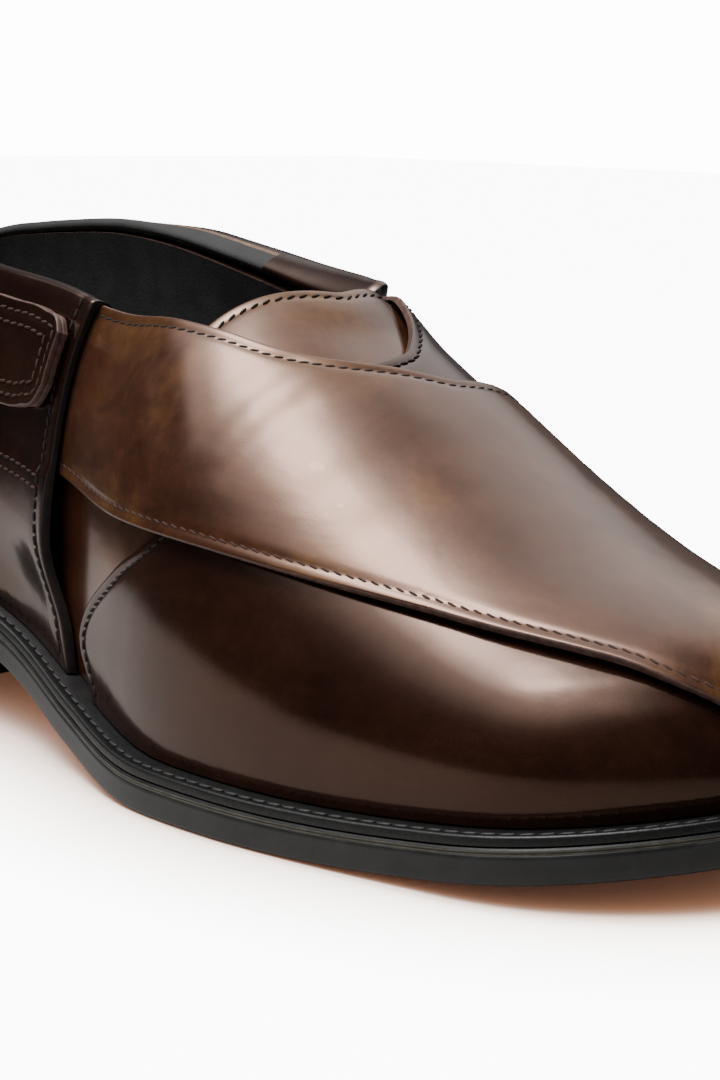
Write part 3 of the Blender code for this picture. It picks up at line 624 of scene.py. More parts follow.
def thread_end(length, width, height):
    """Points and faces of a small swollen capsule that lies along X."""
    shape = [(-length / 2, 0, 0)]
    for polar in np.linspace(0, math.pi, STITCH_RINGS + 2)[1:-1]:
        swell = math.sin(polar) ** THREAD_FULLNESS / 2
        for a in np.arange(STITCH_SIDES) / STITCH_SIDES * 2 * math.pi:
            shape.append((-math.cos(polar) * length / 2, swell * math.cos(a) * width,
                          swell * math.sin(a) * height))
    shape.append((length / 2, 0, 0))
    last = len(shape) - 1
    faces = []
    for a in range(STITCH_SIDES):
        b = (a + 1) % STITCH_SIDES
        faces.append((0, 1 + b, 1 + a))
        for low in range(1, last - STITCH_SIDES, STITCH_SIDES):
            faces.append((low + a, low + b, low + STITCH_SIDES + b, low + STITCH_SIDES + a))
        faces.append((last, last - STITCH_SIDES + a, last - STITCH_SIDES + b))
    return np.array(shape), faces


def stitch_row(name, path, normals, slant, thread, pitch=2.5 * MM, length=2.05 * MM, width=0.62 * MM,
               height=0.56 * MM, sink=0.35):
    """Row of thread ends along a path, each set at a slant in degrees and sunk by a share of its height."""
    arc = np.concatenate([[0], np.cumsum(np.linalg.norm(np.diff(path, axis=0), axis=-1))])
    count = max(1, int(arc[-1] / pitch))
    places = (np.arange(count) + 0.5) * arc[-1] / count

    def along_path(values, at):
        return np.stack([np.interp(at, arc, values[:, k]) for k in range(3)], -1)

    up = unit(along_path(normals, places))
    ahead = unit(along_path(path, places + pitch / 4) - along_path(path, places - pitch / 4))
    side = unit(np.cross(up, ahead))
    lean = math.radians(slant)
    axes = (ahead * math.cos(lean) + side * math.sin(lean),
            side * math.cos(lean) - ahead * math.sin(lean), up)
    shape, shape_faces = thread_end(length, width, height)
    points = (along_path(path, places) + up * height * (0.5 - sink))[:, None]
    for k in range(3):
        points = points + shape[None, :, k:k + 1] * axes[k][:, None]
    faces = [tuple(v + k * len(shape) for v in face) for k in range(count) for face in shape_faces]
    return mesh_piece(name, points.reshape(-1, 3), faces, [0] * len(faces), [thread])


def skin_stitches(name, turn, girth, lift, **form):
    """Row of stitches along a line given by turns and girths on the leather."""
    normals = skin_normal(*np.broadcast_arrays(turn, girth))[0]
    return stitch_row(name, skin(turn, girth, lift), normals, **form)


def on_leather(piece, path):
    """The path set down on the outer face of a piece, with the normals there."""
    mesh = piece.data
    faces = [list(f.vertices) for f in mesh.polygons if f.material_index == OUTSIDE]
    tree = BVHTree.FromPolygons([v.co[:] for v in mesh.vertices], faces)
    hits = [tree.find_nearest(Vector(p)) for p in path - ORIGIN]
    return np.array([hit[0] for hit in hits]) + ORIGIN, np.array([hit[1] for hit in hits])


def edge_stitches(name, piece, turn, girth, lift, inset, **form):
    """Row of stitches on a piece beside its edge; a positive inset is to the left of the edge's run."""
    path = skin(turn, girth, lift)
    left = np.cross(skin_normal(turn, girth)[0], unit(np.gradient(path, axis=0)))
    return stitch_row(name, *on_leather(piece, path + left * inset), **form)


# Materials
def node_tree(name):
    one = bpy.data.materials.new(name)
    one.use_nodes = True
    return one, one.node_tree, one.node_tree.nodes["Principled BSDF"]


def set_inputs(node, **inputs):
    """Sets plain input values, named with _ for a space."""
    for key, value in inputs.items():
        node.inputs[key.replace("_", " ")].default_value = value


def add(tree, kind, **inputs):
    node = tree.nodes.new(kind)
    set_inputs(node, **inputs)
    return node


def vector_math(tree, operation, vector, fixed):
    """A number from a vector that varies and a fixed one."""
    node = tree.nodes.new("ShaderNodeVectorMath")
    node.operation = operation
    tree.links.new(vector, node.inputs[0])
    node.inputs[1].default_value = fixed
    return node.outputs["Value"]


def object_place(tree, scale=(1, 1, 1)):
    mapping = add(tree, "ShaderNodeMapping", Scale=scale)
    tree.links.new(tree.nodes.new("ShaderNodeTexCoord").outputs["Object"], mapping.inputs["Vector"])
    return mapping.outputs["Vector"]


def noise(tree, place, scale, detail=3.0, roughness=0.55, distortion=0.0):
    node = add(tree, "ShaderNodeTexNoise", Scale=scale, Detail=detail, Roughness=roughness,
               Distortion=distortion)
    tree.links.new(place, node.inputs["Vector"])
    return node.outputs["Fac"]


def ramp(tree, value, stops):
    """Colour ramp; stops are (place, colour)."""
    node = tree.nodes.new("ShaderNodeValToRGB")
    tree.links.new(value, node.inputs["Fac"])
    elements = node.color_ramp.elements
    while len(elements) < len(stops):
        elements.new(0.5)
    for element, (at, colour) in zip(elements, stops):
        element.position = at
        element.color = (*colour, 1.0)
    return node.outputs["Color"]


def mix(tree, share, first, second, blend="MIX"):
    node = tree.nodes.new("ShaderNodeMix")
    node.data_type = "RGBA"
    node.blend_type = blend
    for socket, value in ((0, share), (6, first), (7, second)):
        if isinstance(value, bpy.types.NodeSocket):
            tree.links.new(value, node.inputs[socket])
        else:
            node.inputs[socket].default_value = value if socket == 0 else (*value, 1.0)
    return node.outputs[2]


def bump(tree, height, strength, distance, below=None):
    node = add(tree, "ShaderNodeBump", Strength=strength, Distance=distance)
    tree.links.new(height, node.inputs["Height"])
    if below is not None:
        tree.links.new(below, node.inputs["Normal"])
    return node.outputs["Normal"]


def between(tree, value, low, high, start=0.0, end=1.0):
    """Maps start..end to low..high."""
    node = add(tree, "ShaderNodeMapRange", From_Min=start, From_Max=end, To_Min=low, To_Max=high)
    tree.links.new(value, node.inputs["Value"])
    return node.outputs["Result"]


def scuffed(tree, colour, places):
    """Small rubbed spots where the light ground shows; places are (point, reach)."""
    for point, reach in places:
        away = vector_math(tree, "DISTANCE", object_place(tree), point)
        share = between(tree, away, SCUFF_STRENGTH, 0.0, SCUFF_CORE * reach, reach)
        colour = mix(tree, share, colour, SCUFF_COLOUR)
    return colour


# Noises of the leather: scale, detail, roughness, distortion
CLOUDS = (26, 4, 0.6, 0.6)
RUBBING = (60, 5, 0.65, 1.2)
RUBBING_STRETCH = (0.35, 1.0, 1.0)
SPECKS = (420, 4, 0.7)
WAVES = (34, 2, 0.4, 0.3)
PORES = (1500, 3, 0.6)
SPECK_SHADES = ((0.42, (0.72, 0.72, 0.72)), (0.66, (1.12, 1.10, 1.05)))
# How dark the rubbed patches are against the dark tone, and how much of them and the specks shows
RUBBED_DARK = 0.55
RUBBED_SHARE = 0.35
SPECK_SHARE = 0.6
# Bumps of waves, clouds and pores: strength and depth
WAVE_BUMP = (0.55, 0.8 * MM)
CLOUD_BUMP = (0.25, 0.6 * MM)
PORE_BUMP = (0.10, 0.08 * MM)
# Coat of polish, and the warm tint of the shine under it
POLISH = {"Coat_Weight": 0.12, "Coat_IOR": 1.50, "Specular_Tint": (1.0, 0.60, 0.44, 1.0)}


def brushed_leather(name, dark, mid, gold, patina, roughness, coat_roughness, gloss, scuffs=()):
    """High-shine leather with a rubbed, uneven brown finish over a lighter ground; gloss is its IOR."""
    one, tree, shader = node_tree(name)
    place = object_place(tree)
    cloud = noise(tree, place, *CLOUDS)
    rub = noise(tree, object_place(tree, RUBBING_STRETCH), *RUBBING)
    base = ramp(tree, cloud, ((0.30, dark), (0.50, mid), (0.50 + patina, gold)))
    rubbed = ramp(tree, rub, ((0.35, tuple(RUBBED_DARK * c for c in dark)), (0.62, mid)))
    speck = ramp(tree, noise(tree, place, *SPECKS), SPECK_SHADES)
    colour = mix(tree, SPECK_SHARE, mix(tree, RUBBED_SHARE, base, rubbed), speck, "MULTIPLY")
    tree.links.new(scuffed(tree, colour, scuffs), shader.inputs["Base Color"])
    tree.links.new(between(tree, rub, roughness - 0.05, roughness + 0.08), shader.inputs["Roughness"])
    waves = bump(tree, noise(tree, place, *WAVES), *WAVE_BUMP)
    uneven = bump(tree, cloud, *CLOUD_BUMP, waves)
    pores = bump(tree, noise(tree, place, *PORES), *PORE_BUMP, uneven)
    tree.links.new(pores, shader.inputs["Normal"])
    tree.links.new(uneven, shader.inputs["Coat Normal"])
    set_inputs(shader, Coat_Roughness=coat_roughness, IOR=gloss, **POLISH)
    return one


# Plain finish: detail, roughness and distortion of its clouds, detail and roughness of its grain
PLAIN_CLOUDS = (4, 0.6, 0.4)
PLAIN_GRAIN = (4, 0.65)
GRAIN_STRENGTH = 0.5
PLAIN_SPREAD = 0.06
PLAIN_COAT_ROUGHNESS = 0.2


def plain_finish(name, low, high, scale, roughness, grain, depth, coat=0.0):
    """Uneven plain colour with fine grain."""
    one, tree, shader = node_tree(name)
    place = object_place(tree)
    cloud = noise(tree, place, scale, *PLAIN_CLOUDS)
    gloss = between(tree, cloud, roughness - PLAIN_SPREAD, roughness + PLAIN_SPREAD)
    fine = bump(tree, noise(tree, place, grain, *PLAIN_GRAIN), GRAIN_STRENGTH, depth)
    tree.links.new(ramp(tree, cloud, ((0.32, low), (0.68, high))), shader.inputs["Base Color"])
    tree.links.new(gloss, shader.inputs["Roughness"])
    tree.links.new(fine, shader.inputs["Normal"])
    set_inputs(shader, Coat_Weight=coat, Coat_Roughness=PLAIN_COAT_ROUGHNESS)
    return one


SCUFF_COLOUR = (0.42, 0.24, 0.15)
SCUFF_STRENGTH = 0.75
SCUFF_CORE = 0.4
SCUFFS = (
    ((57.4 * MM, -29.4 * MM, 67.3 * MM), 1.5 * MM),
    ((65.8 * MM, -30.6 * MM, 61.0 * MM), 0.8 * MM),
    ((58.6 * MM, -28.6 * MM, 66.9 * MM), 0.9 * MM),
)
BROWN_SHINE = brushed_leather("brown_shine", (0.021, 0.0063, 0.0038), (0.070, 0.0265, 0.0135),
                              (0.168, 0.078, 0.027), 0.16, 0.17, 0.06, 1.72, SCUFFS)
PANEL_SHINE = brushed_leather("panel_shine", (0.010, 0.0032, 0.0023), (0.024, 0.0082, 0.0054),
                              (0.040, 0.0165, 0.0078), 0.26, 0.13, 0.04, 1.52)
DARK_SHINE = brushed_leather("dark_shine", (0.007, 0.0024, 0.0018), (0.016, 0.0056, 0.0038),
                             (0.036, 0.0140, 0.0066), 0.24, 0.14, 0.04, 1.66)
RAW_TAN = plain_finish("raw_tan", (0.12, 0.062, 0.034), (0.24, 0.135, 0.078), 500, 0.6, 2600, 0.00012)
FLESH_SIDE = plain_finish("flesh_side", (0.020, 0.011, 0.008), (0.040, 0.022, 0.016),
                          90, 0.75, 1800, 0.00012)
CUT_EDGE = plain_finish("cut_edge", (0.060, 0.028, 0.021), (0.14, 0.072, 0.056), 500, 0.48, 2600, 0.00012)
DARK_EDGE = plain_finish("dark_edge", (0.004, 0.003, 0.003), (0.012, 0.008, 0.006), 400, 0.45, 2400, 0.0001)
BLACK_LINING = plain_finish("black_lining", (0.015, 0.0148, 0.0145), (0.030, 0.029, 0.028),
                            160, 0.72, 1500, 0.0002)
BLACK_THREAD = plain_finish("black_thread", (0.004, 0.0027, 0.0023), (0.015, 0.010, 0.008),
                            900, 0.78, 4000, 0.00008)
BROWN_THREAD = plain_finish("brown_thread", (0.026, 0.0095, 0.006), (0.070, 0.0270, 0.018),
                            900, 0.80, 4000, 0.00008)
GREY_THREAD = plain_finish("grey_thread", (0.004, 0.0038, 0.0035), (0.012, 0.0115, 0.011),
                           700, 0.6, 4000, 0.0001)
WELT_BLACK = plain_finish("welt_black", (0.0016, 0.0016, 0.0016), (0.0045, 0.0042, 0.0040),
                          220, 0.42, 900, 0.0002)
SOLE_SIDE = plain_finish("sole_side", (0.0070, 0.0070, 0.0071), (0.0175, 0.0175, 0.0177),
                         120, 0.40, 700, 0.0001)
SOLE_LINE = plain_finish("sole_line", (0.050, 0.046, 0.031), (0.110, 0.100, 0.070), 300, 0.55, 2000, 0.0001)
SOLE_FACE = plain_finish("sole_face", (0.40, 0.150, 0.075), (0.55, 0.24, 0.12), 60, 0.42, 1400, 0.0002, 0.3)
RUBBER = plain_finish("rubber", (0.003, 0.003, 0.003), (0.008, 0.008, 0.008), 200, 0.62, 1600, 0.0002)
INSOLE_LEATHER = plain_finish("insole_leather", (0.003, 0.003, 0.003), (0.010, 0.009, 0.009),
                              40, 0.50, 1500, 0.0002)


# Straps
EDGE_COLUMNS = ("along", "station", "girth")
UPPER_EDGE_ENDS = 0.79
LOWER_EDGE_ENDS = 0.50
lower_edge = smooth_table(EDGE_COLUMNS, [
    (0.00, 0.400, -0.650),
    (0.09, 0.456, -0.631),
    (0.18, 0.527, -0.620),
    (0.27, 0.602, -0.604),
    (0.36, 0.683, -0.584),
    (0.44, 0.748, -0.561),
    (LOWER_EDGE_ENDS, 0.800, -0.541),
    (0.56, 0.852, -0.520),
    (0.64, 0.915, -0.485),
])
upper_edge = smooth_table(EDGE_COLUMNS, [
    (0.00, 0.395, -0.325),
    (0.09, 0.455, -0.302),
    (0.18, 0.506, -0.281),
    (0.27, 0.555, -0.260),
    (0.36, 0.597, -0.229),
    (0.44, 0.626, -0.165),
    (0.50, 0.642, -0.085),
    (0.57, 0.656, 0.020),
    (0.63, 0.662, 0.160),
    (0.70, 0.650, 0.350),
    (UPPER_EDGE_ENDS, 0.600, 0.580),
])
STRAP_ROWS = 180
WIDTH_POINTS = 17
STRAP_COLUMNS_INSIDE = 40
CAP_COLUMNS = 44
CAP_ROWS_SIDE = 26
CAP_EDGE_SHARE = 0.8
CUT_DEPTH = 0.16 * MM
# Where the toe cap ends at an edge of its own and not at the seat
OPEN_GIRTH = 0.995


def strap_edges(curve, ear_side, along):
    """Turn and girth of the rear edge, then of the front edge, of a crossed strap."""
    edges = []
    for edge in ("rear", "front"):
        edges += [turn_of(curve(edge + " station", along)), -ear_side * curve(edge + " girth", along)]
    return edges


def over_strap_edges(along):
    """Edges of the over strap; its lower edge runs on smoothly into the toe cap's."""
    edges = strap_edges(over_curve, -1.0, along)
    for first, curve, end in ((0, upper_edge, UPPER_EDGE_ENDS), (2, lower_edge, LOWER_EDGE_ENDS)):
        outer = along < end
        edges[first] = np.where(outer, turn_of(curve("station", along)), edges[first])
        edges[first + 1] = np.where(outer, curve("girth", along), edges[first + 1])
    return edges


def strap_width(edges):
    """Length across the strap at each row, along the leather."""
    share = np.linspace(0, 1, WIDTH_POINTS)
    line = skin(*across_strap(edges, share), OVER_LIFT)
    return np.linalg.norm(np.diff(line, axis=1), axis=-1).sum(1)


def across_strap(edges, share):
    rear_turn, rear_girth, front_turn, front_girth = (edge[:, None] for edge in edges)
    return rear_turn * (1 - share) + front_turn * share, rear_girth * (1 - share) + front_girth * share


def over_lift(along):
    """Inner face of the over strap, which climbs on the under strap beyond its ear."""
    return UNDER_LIFT + (OVER_LIFT - UNDER_LIFT) * ease((along - CLIMB_STARTS) / CLIMB_RUN)


def under_lift(turn, girth):
    """Inner face of the under strap, whose ear stands off the far ankle."""
    high = ease((1 - np.abs(girth) - EAR_STAND_RISE) / EAR_STAND_RISE_RUN)
    return UNDER_LIFT + FAR_EAR_STAND * ease((EAR_STAND_ENDS - station_of(turn)) / EAR_STAND_RUN) * high


def cap_rows(length):
    """Shares of a half cap from its edge to the ridge, fine at the edge, for each of several lengths."""
    near = np.minimum(EDGE_OFFSETS / length[:, None], np.linspace(0, CAP_EDGE_SHARE, len(EDGE_OFFSETS)))
    first = near[:, -1:]
    rest = np.linspace(0, 1, CAP_ROWS_SIDE - len(EDGE_OFFSETS) + 2)[1:]
    return np.hstack([near, first + (1 - first) * rest])


def cap_grid():
    """Turns and girths of the toe cap: columns from its rear line to the tip, rows from edge to edge."""
    start = float(turn_of(TOE_CAP_STATION))
    cap = np.linspace(0, 1, CAP_COLUMNS + 1)
    turn = start + (1 - start) * cap
    halves = []
    for side in (-1.0, 1.0):
        edge = of_side(cap_curve, "girth", side, cap)
        share = cap_rows(edge * girth_length(turn, np.full_like(turn, side)))
        halves.append((side * edge[:, None] * (1 - share)).T)
    girth = np.vstack([halves[0], halves[1][-2::-1]])
    return np.broadcast_to(turn, girth.shape), girth


def over_strap_grid():
    """Whole over strap: ear, crossing, inner side and toe cap.

    The ear fills the first rows up to half, and the cap fills the columns past the strap's own.
    """
    cap_turn, cap_girth = cap_grid()
    half = STRAP_ROWS // 2
    ear_along = np.linspace(0, 0.5, half + 1)[:-1]
    line = cap_girth[:, 0]
    cap_share = (np.where(line < 0, line / -line[0], line / line[-1]) + 1) / 2
    along = np.concatenate([ear_along, 0.5 + 0.5 * cap_share])
    edges = over_strap_edges(along)
    edges[2][half:] = cap_turn[:, 0]
    edges[3][half:] = line
    turn, girth = across_strap(edges, edge_shares(strap_width(edges), STRAP_COLUMNS_INSIDE))
    columns = turn.shape[1]
    idle = np.ones((half, CAP_COLUMNS))
    turn = np.hstack([turn, np.vstack([turn[:half, -1:] * idle, cap_turn[:, 1:]])])
    girth = np.hstack([girth, np.vstack([girth[:half, -1:] * idle, cap_girth[:, 1:]])])
    kept = np.ones((turn.shape[0] - 1, turn.shape[1] - 1), bool)
    kept[:half, columns - 1:] = False
    return turn, girth, along, kept, half, columns


def over_strap():
    turn, girth, along, kept, half, columns = over_strap_grid()
    lift = over_lift(along)[:, None]
    base = skin(turn, girth, lift)
    lower = np.concatenate([base[:half, columns - 1], base[half, columns - 1:]])
    far = base[-1, columns - 1:][girth[-1, columns - 1:] < OPEN_GIRTH]
    edge_gap = np.minimum.reduce([path_distance(base, line) for line in (lower, base[:, 0], far)])
    relief = pressed(base, STRAP_CREASES, OVER_LIFT) + swollen(base)
    outer = skin(turn, girth, lift + LEATHER - edge_fall(edge_gap) + relief)
    middle = (half + len(turn) - 1) // 2
    at_tip = ((slice(middle + 1, None), -1), (slice(middle - 1, half - 1, -1), -1))
    data = wall(outer, base, CUT * cells_at(edge_gap < CUT_DEPTH), kept, [at_tip])
    piece = mesh_piece("over_strap_leather", *data, [BROWN_SHINE, FLESH_SIDE, CUT_EDGE])
    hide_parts("over_strap")
    return piece


def pressed(base, lines, lift, bow=0.0):
    """Soft troughs and ridges along lines on the leather, each bowed towards the outer seat."""
    relief = np.zeros(base.shape[:-1])
    for from_station, from_girth, to_station, to_girth, width, depth in lines:
        stations = np.linspace(from_station, to_station, CREASE_POINTS)
        bowed = bow * np.sin(np.linspace(0, math.pi, CREASE_POINTS))
        line = skin(turn_of(stations), np.linspace(from_girth, to_girth, CREASE_POINTS) - bowed, lift)
        relief -= depth * np.exp(-(path_distance(base, line) / width) ** 2)
    return relief


def swollen(base):
    relief = np.zeros(base.shape[:-1])
    for station, side, reach, height in STRAP_SWELLS:
        away = np.linalg.norm(base[..., :2] - (station * SHOE_LENGTH, side * BALL_WIDTH), axis=-1)
        relief += height * np.exp(-(away / reach) ** 2)
    return relief


CREASE_POINTS = 9
# Creases of the over strap: station and girth of both ends, width, depth (a ridge is a negative depth)
STRAP_CREASES = (
    (0.601, -0.419, 0.608, -0.190, 3.5 * MM, 0.22 * MM),
    (0.618, -0.440, 0.624, -0.240, 3.0 * MM, -0.14 * MM),
    (0.633, -0.461, 0.641, -0.300, 3.0 * MM, 0.16 * MM),
    (0.539, -0.500, 0.495, -0.362, 3.0 * MM, 0.22 * MM),
    (0.569, -0.450, 0.522, -0.331, 2.6 * MM, 0.24 * MM),
    (0.586, -0.425, 0.550, -0.325, 2.4 * MM, -0.14 * MM),
    (0.694, -0.420, 0.706, -0.260, 3.6 * MM, 0.10 * MM),
    (0.737, -0.430, 0.757, -0.260, 4.0 * MM, 0.09 * MM),
)
# Swells of the over strap: station, side as a share of the ball width, reach, height
STRAP_SWELLS = (
    (0.52, -0.30, 20 * MM, 0.5 * MM),
    (0.63, -0.26, 16 * MM, -0.4 * MM),
    (0.72, -0.10, 24 * MM, 0.4 * MM),
)
# Long ridges of the outer panel where the leather is stretched over the toe: same form as the creases
RIDGE_BOW = 0.03
PANEL_RIDGES = (
    (0.880, -0.648, 0.972, -0.401, 1.6 * MM, -0.14 * MM),
    (0.940, -0.650, 0.975, -0.470, 1.6 * MM, -0.10 * MM),
)


def under_strap():
    along = np.linspace(0, 1, STRAP_ROWS + 1)
    edges = strap_edges(under_curve, 1.0, along)
    turn, girth = across_strap(edges, edge_shares(strap_width(edges), STRAP_COLUMNS_INSIDE))
    lift = under_lift(turn, girth)
    base = skin(turn, girth, lift)
    edge_gap = path_distance(base, base[:, 0])
    relief = pressed(base, PANEL_RIDGES, UNDER_LIFT, RIDGE_BOW)
    outer = skin(turn, girth, lift + LEATHER - edge_fall(edge_gap) + relief)
    slots = np.zeros((turn.shape[0] - 1, turn.shape[1] - 1), int)
    slots[:, :EDGE_CELLS] = CUT
    piece = mesh_piece("under_strap_leather", *wall(outer, base, slots), [PANEL_SHINE, FLESH_SIDE, CUT_EDGE])
    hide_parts("under_strap")
    return piece


# Upper: inner vamp with its arched throat, and the lining of the quarter
UPPER_BAND = 30
UPPER_TONGUE = 36
UPPER_REAR = 60
UPPER_FRONT = 70
LINING_STATION = 0.40
TONGUE_STAND = 2.4 * MM
TONGUE_REACH = 15 * MM
TONGUE_FREE_FROM = -0.25
TONGUE_FREE_TO = 0.36
TONGUE_FREE_RUN = 0.28


def collar_rise(turn, side):
    """Height of the collar line as a share of the girth from seat to ridge."""
    return of_side(collar_curve, "rise", side, station_of(turn))


def upper_grid():
    """Turns and girths of the upper, and its cells outside the throat."""
    throat = float(turn_of(THROAT_STATION))
    near = throat + EDGE_OFFSETS / (SHOE_LENGTH * math.pi / 2 * math.sin(math.pi * throat))
    rear = np.linspace(0, throat, UPPER_REAR + 1)
    front = np.linspace(near[-1], 1, UPPER_FRONT + 1)
    turns = np.concatenate([rear[:-1], near, front[1:]])
    girth = np.empty((len(turns), 2 * UPPER_BAND + UPPER_TONGUE + 1))
    share = np.linspace(0, 1, UPPER_BAND + 1)
    for side, order in SIDE_ORDERS:
        sides = np.full_like(turns, side)
        top = collar_rise(np.minimum(turns, throat), sides) - TOP_FOLD / girth_length(turns, sides)
        girth[:, order][:, :UPPER_BAND + 1] = side * (1 - share[None] * top[:, None])
    for row in girth:
        row[UPPER_BAND:-UPPER_BAND] = np.linspace(row[UPPER_BAND], row[-UPPER_BAND - 1], UPPER_TONGUE + 1)
    nearness = np.minimum(turns / throat, (1 - turns) / (1 - throat))
    skew = float(turn_of(THROAT_STATION + THROAT_SKEW)) - throat
    inner_side = ease((girth + THROAT_SKEW_GIRTH) / (2 * THROAT_SKEW_GIRTH))
    kept = np.ones((girth.shape[0] - 1, girth.shape[1] - 1), bool)
    kept[:UPPER_REAR, UPPER_BAND:-UPPER_BAND] = False
    return turns[:, None] + skew * nearness[:, None] * inner_side, girth, kept


def tongue_stand(edge_gap, girth):
    """How far the free edge of the throat stands up between the two straps."""
    from_outer = ease((girth - TONGUE_FREE_FROM) / TONGUE_FREE_RUN)
    from_inner = ease((TONGUE_FREE_TO - girth) / TONGUE_FREE_RUN)
    return TONGUE_STAND * (1 - ease(edge_gap / TONGUE_REACH)) * from_outer * from_inner


def upper():
    turn, girth, kept = upper_grid()
    base = skin(turn, girth, WALL)
    edge_gap = path_distance(base, base[UPPER_REAR, UPPER_BAND:-UPPER_BAND])
    stand = tongue_stand(edge_gap, girth)
    outer = skin(turn, girth, WALL + stand - edge_fall(edge_gap))
    middle = girth.shape[1] // 2
    at_tips = [((tip, slice(middle + 1, None)), (tip, slice(middle - 1, None, -1))) for tip in (0, -1)]
    slots = np.zeros(kept.shape, int)
    slots[UPPER_REAR:UPPER_REAR + EDGE_CELLS, UPPER_BAND:-UPPER_BAND] = CUT
    points, faces, slots = wall(outer, skin(turn, girth, stand), slots, kept, at_tips)
    ahead = points[[face[0] for face in faces], 0] + ORIGIN[0]
    lined = ahead < LINING_STATION * SHOE_LENGTH
    slots = [INSIDE if dark and slot == CUT else slot for dark, slot in zip(lined, slots)]
    piece = mesh_piece("upper_leather", points, faces, slots, [BROWN_SHINE, BLACK_LINING, CUT_EDGE])
    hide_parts("upper")


# Quarter: closed counter with its raised seam and turned-over top
QUARTER_SIDE = 90
QUARTER_WALL_ROWS = 44
QUARTER_FOLD_ROWS = 12
FOLD_RADIUS = 1.4 * MM
INNER_FOLD_DROP = 0.6 * LEATHER
SEAM_FACE = 0.006
SEAM_CROWD = 0.75
SEAM_CROWD_REACH = 0.12
SEWN_FROM = 0.02
# Raw leather shows along one row of the fold, on the inner side up to a station
RAW_TOP_STATION = 0.440
RAW_TOP_ROW = 5
RAW_TOP = 3


def quarter_lift(turn, girth):
    """Inner face of the quarter: on the lining at the heel, over the strap ears in front."""
    ahead = ease((station_of(turn) - EAR_COVER_STARTS) / (EAR_COVER_FULL - EAR_COVER_STARTS))
    high = ease((1 - np.abs(girth) - EAR_COVER_RISE) / EAR_COVER_RISE_RUN)
    inner_ear = np.where(girth > 0, FAR_EAR_STAND, 0.0) * high
    return UNDER_LIFT + (OVER_LIFT - UNDER_LIFT + inner_ear) * ahead * high


def seam_rise(turn):
    climb = ease((station_of(turn) - SEAM_CLIMB_STARTS) / SEAM_CLIMB_RUN)
    return SEAM_RISE_HEEL + (SEAM_RISE_FRONT - SEAM_RISE_HEEL) * climb


def quarter_seam(turn, girth):
    """Extra thickness of the lower counter under the raised seam."""
    return SEAM_STEP * (1 - ease((1 - np.abs(girth) - seam_rise(turn) - SEAM_SLOPE / 2) / SEAM_FACE + 0.5))


def quarter_front(level, side):
    """Turn of the quarter's front edge at a share of its rise."""
    return turn_of(of_side(front_curve, "station", side, level * QUARTER_FRONT_RISE))


# Length of the quarter along its foot, on the outer side
QUARTER_FOOT = SHOE_LENGTH * float(front_curve("outer station", 0.0))


def quarter_face(turn, girth):
    """Outer face of the quarter."""
    return quarter_lift(turn, girth) + LEATHER + quarter_seam(turn, girth)


def quarter_levels():
    """Shares of the quarter's rise, close together at the raised seam."""
    share = np.linspace(0, 1, QUARTER_WALL_ROWS + 1)
    from_seam = share - SEAM_RISE_HEEL / collar_curve("outer rise", 0.0)
    return share - SEAM_CROWD * from_seam * np.exp(-(from_seam / SEAM_CROWD_REACH) ** 2)


def quarter():
    near = EDGE_OFFSETS / QUARTER_FOOT
    share_half = np.concatenate([np.linspace(0, 1 - near[-1], QUARTER_SIDE)[:-1], 1 - near[::-1]])
    share = np.concatenate([-share_half[:0:-1], share_half])
    side = np.where(share < 0, -1.0, 1.0)
    front_gap = (1 - np.abs(share)) * QUARTER_FOOT
    fold = np.linspace(0, 1, QUARTER_FOLD_ROWS + 1)[1:]
    outer = []
    inner = []
    for level, turned in [(a, 0.0) for a in quarter_levels()] + [(1.0, s) for s in fold]:
        turn = np.abs(share) * quarter_front(level, side)
        size = girth_length(turn, side)
        top = collar_rise(turn, side) - FOLD_RADIUS / size
        rise_out = top * level + FOLD_RADIUS / size * math.sin(math.pi * turned)
        rise_in = np.minimum(rise_out, top - INNER_FOLD_DROP / size)
        girth_out = side * (1 - rise_out)
        girth_in = side * (1 - rise_in)
        inward = (1 - math.cos(math.pi * turned)) / 2
        pull = seam_trough(front_gap) * (level > SEWN_FROM)
        face = quarter_face(turn, girth_out) - rounded(front_gap) - pull
        back = quarter_lift(turn, girth_in)
        outer.append(skin(turn, girth_out, face * (1 - inward) + FOLD_END_GAP * inward))
        inner.append(skin(turn, girth_in, back * (1 - inward) + FOLD_END_GAP * inward))
    outer = np.stack(outer, 1)
    slots = np.zeros((len(share) - 1, outer.shape[1] - 1), int)
    top_station = station_of(np.abs(share[:-1]) * turn_of(front_curve("inner station", 1.0)))
    raw = (share[:-1] > 0) & (top_station < RAW_TOP_STATION)
    slots[raw, QUARTER_WALL_ROWS + RAW_TOP_ROW] = RAW_TOP
    slots[raw, QUARTER_WALL_ROWS + RAW_TOP_ROW + 1:] = INSIDE
    slots[:EDGE_CELLS] = CUT
    slots[-EDGE_CELLS:] = CUT
    data = wall(outer, np.stack(inner, 1), slots)
    piece = mesh_piece("quarter_leather", *data, [DARK_SHINE, BLACK_LINING, DARK_EDGE, RAW_TAN])
    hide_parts("quarter")


# Fastening tab: two layers sewn together
TAB_ROWS = 150
TAB_COLUMNS_INSIDE = 10
TAB_PARTING = 0.12 * MM
TAB_LEAST_WIDTH = 11 * MM
# Rows of the tab stand closer together towards its round end
TAB_CROWD = 1.5


def tab_edges(along):
    turn = turn_of(tab_curve("station", along))
    return [turn, tab_curve("top girth", along), turn, tab_curve("bottom girth", along)]


def tab_width(edges):
    return np.maximum(strap_width(edges), TAB_LEAST_WIDTH)


def tab_lift(turn, girth):
    return quarter_face(turn, girth) + LAYER_GAP


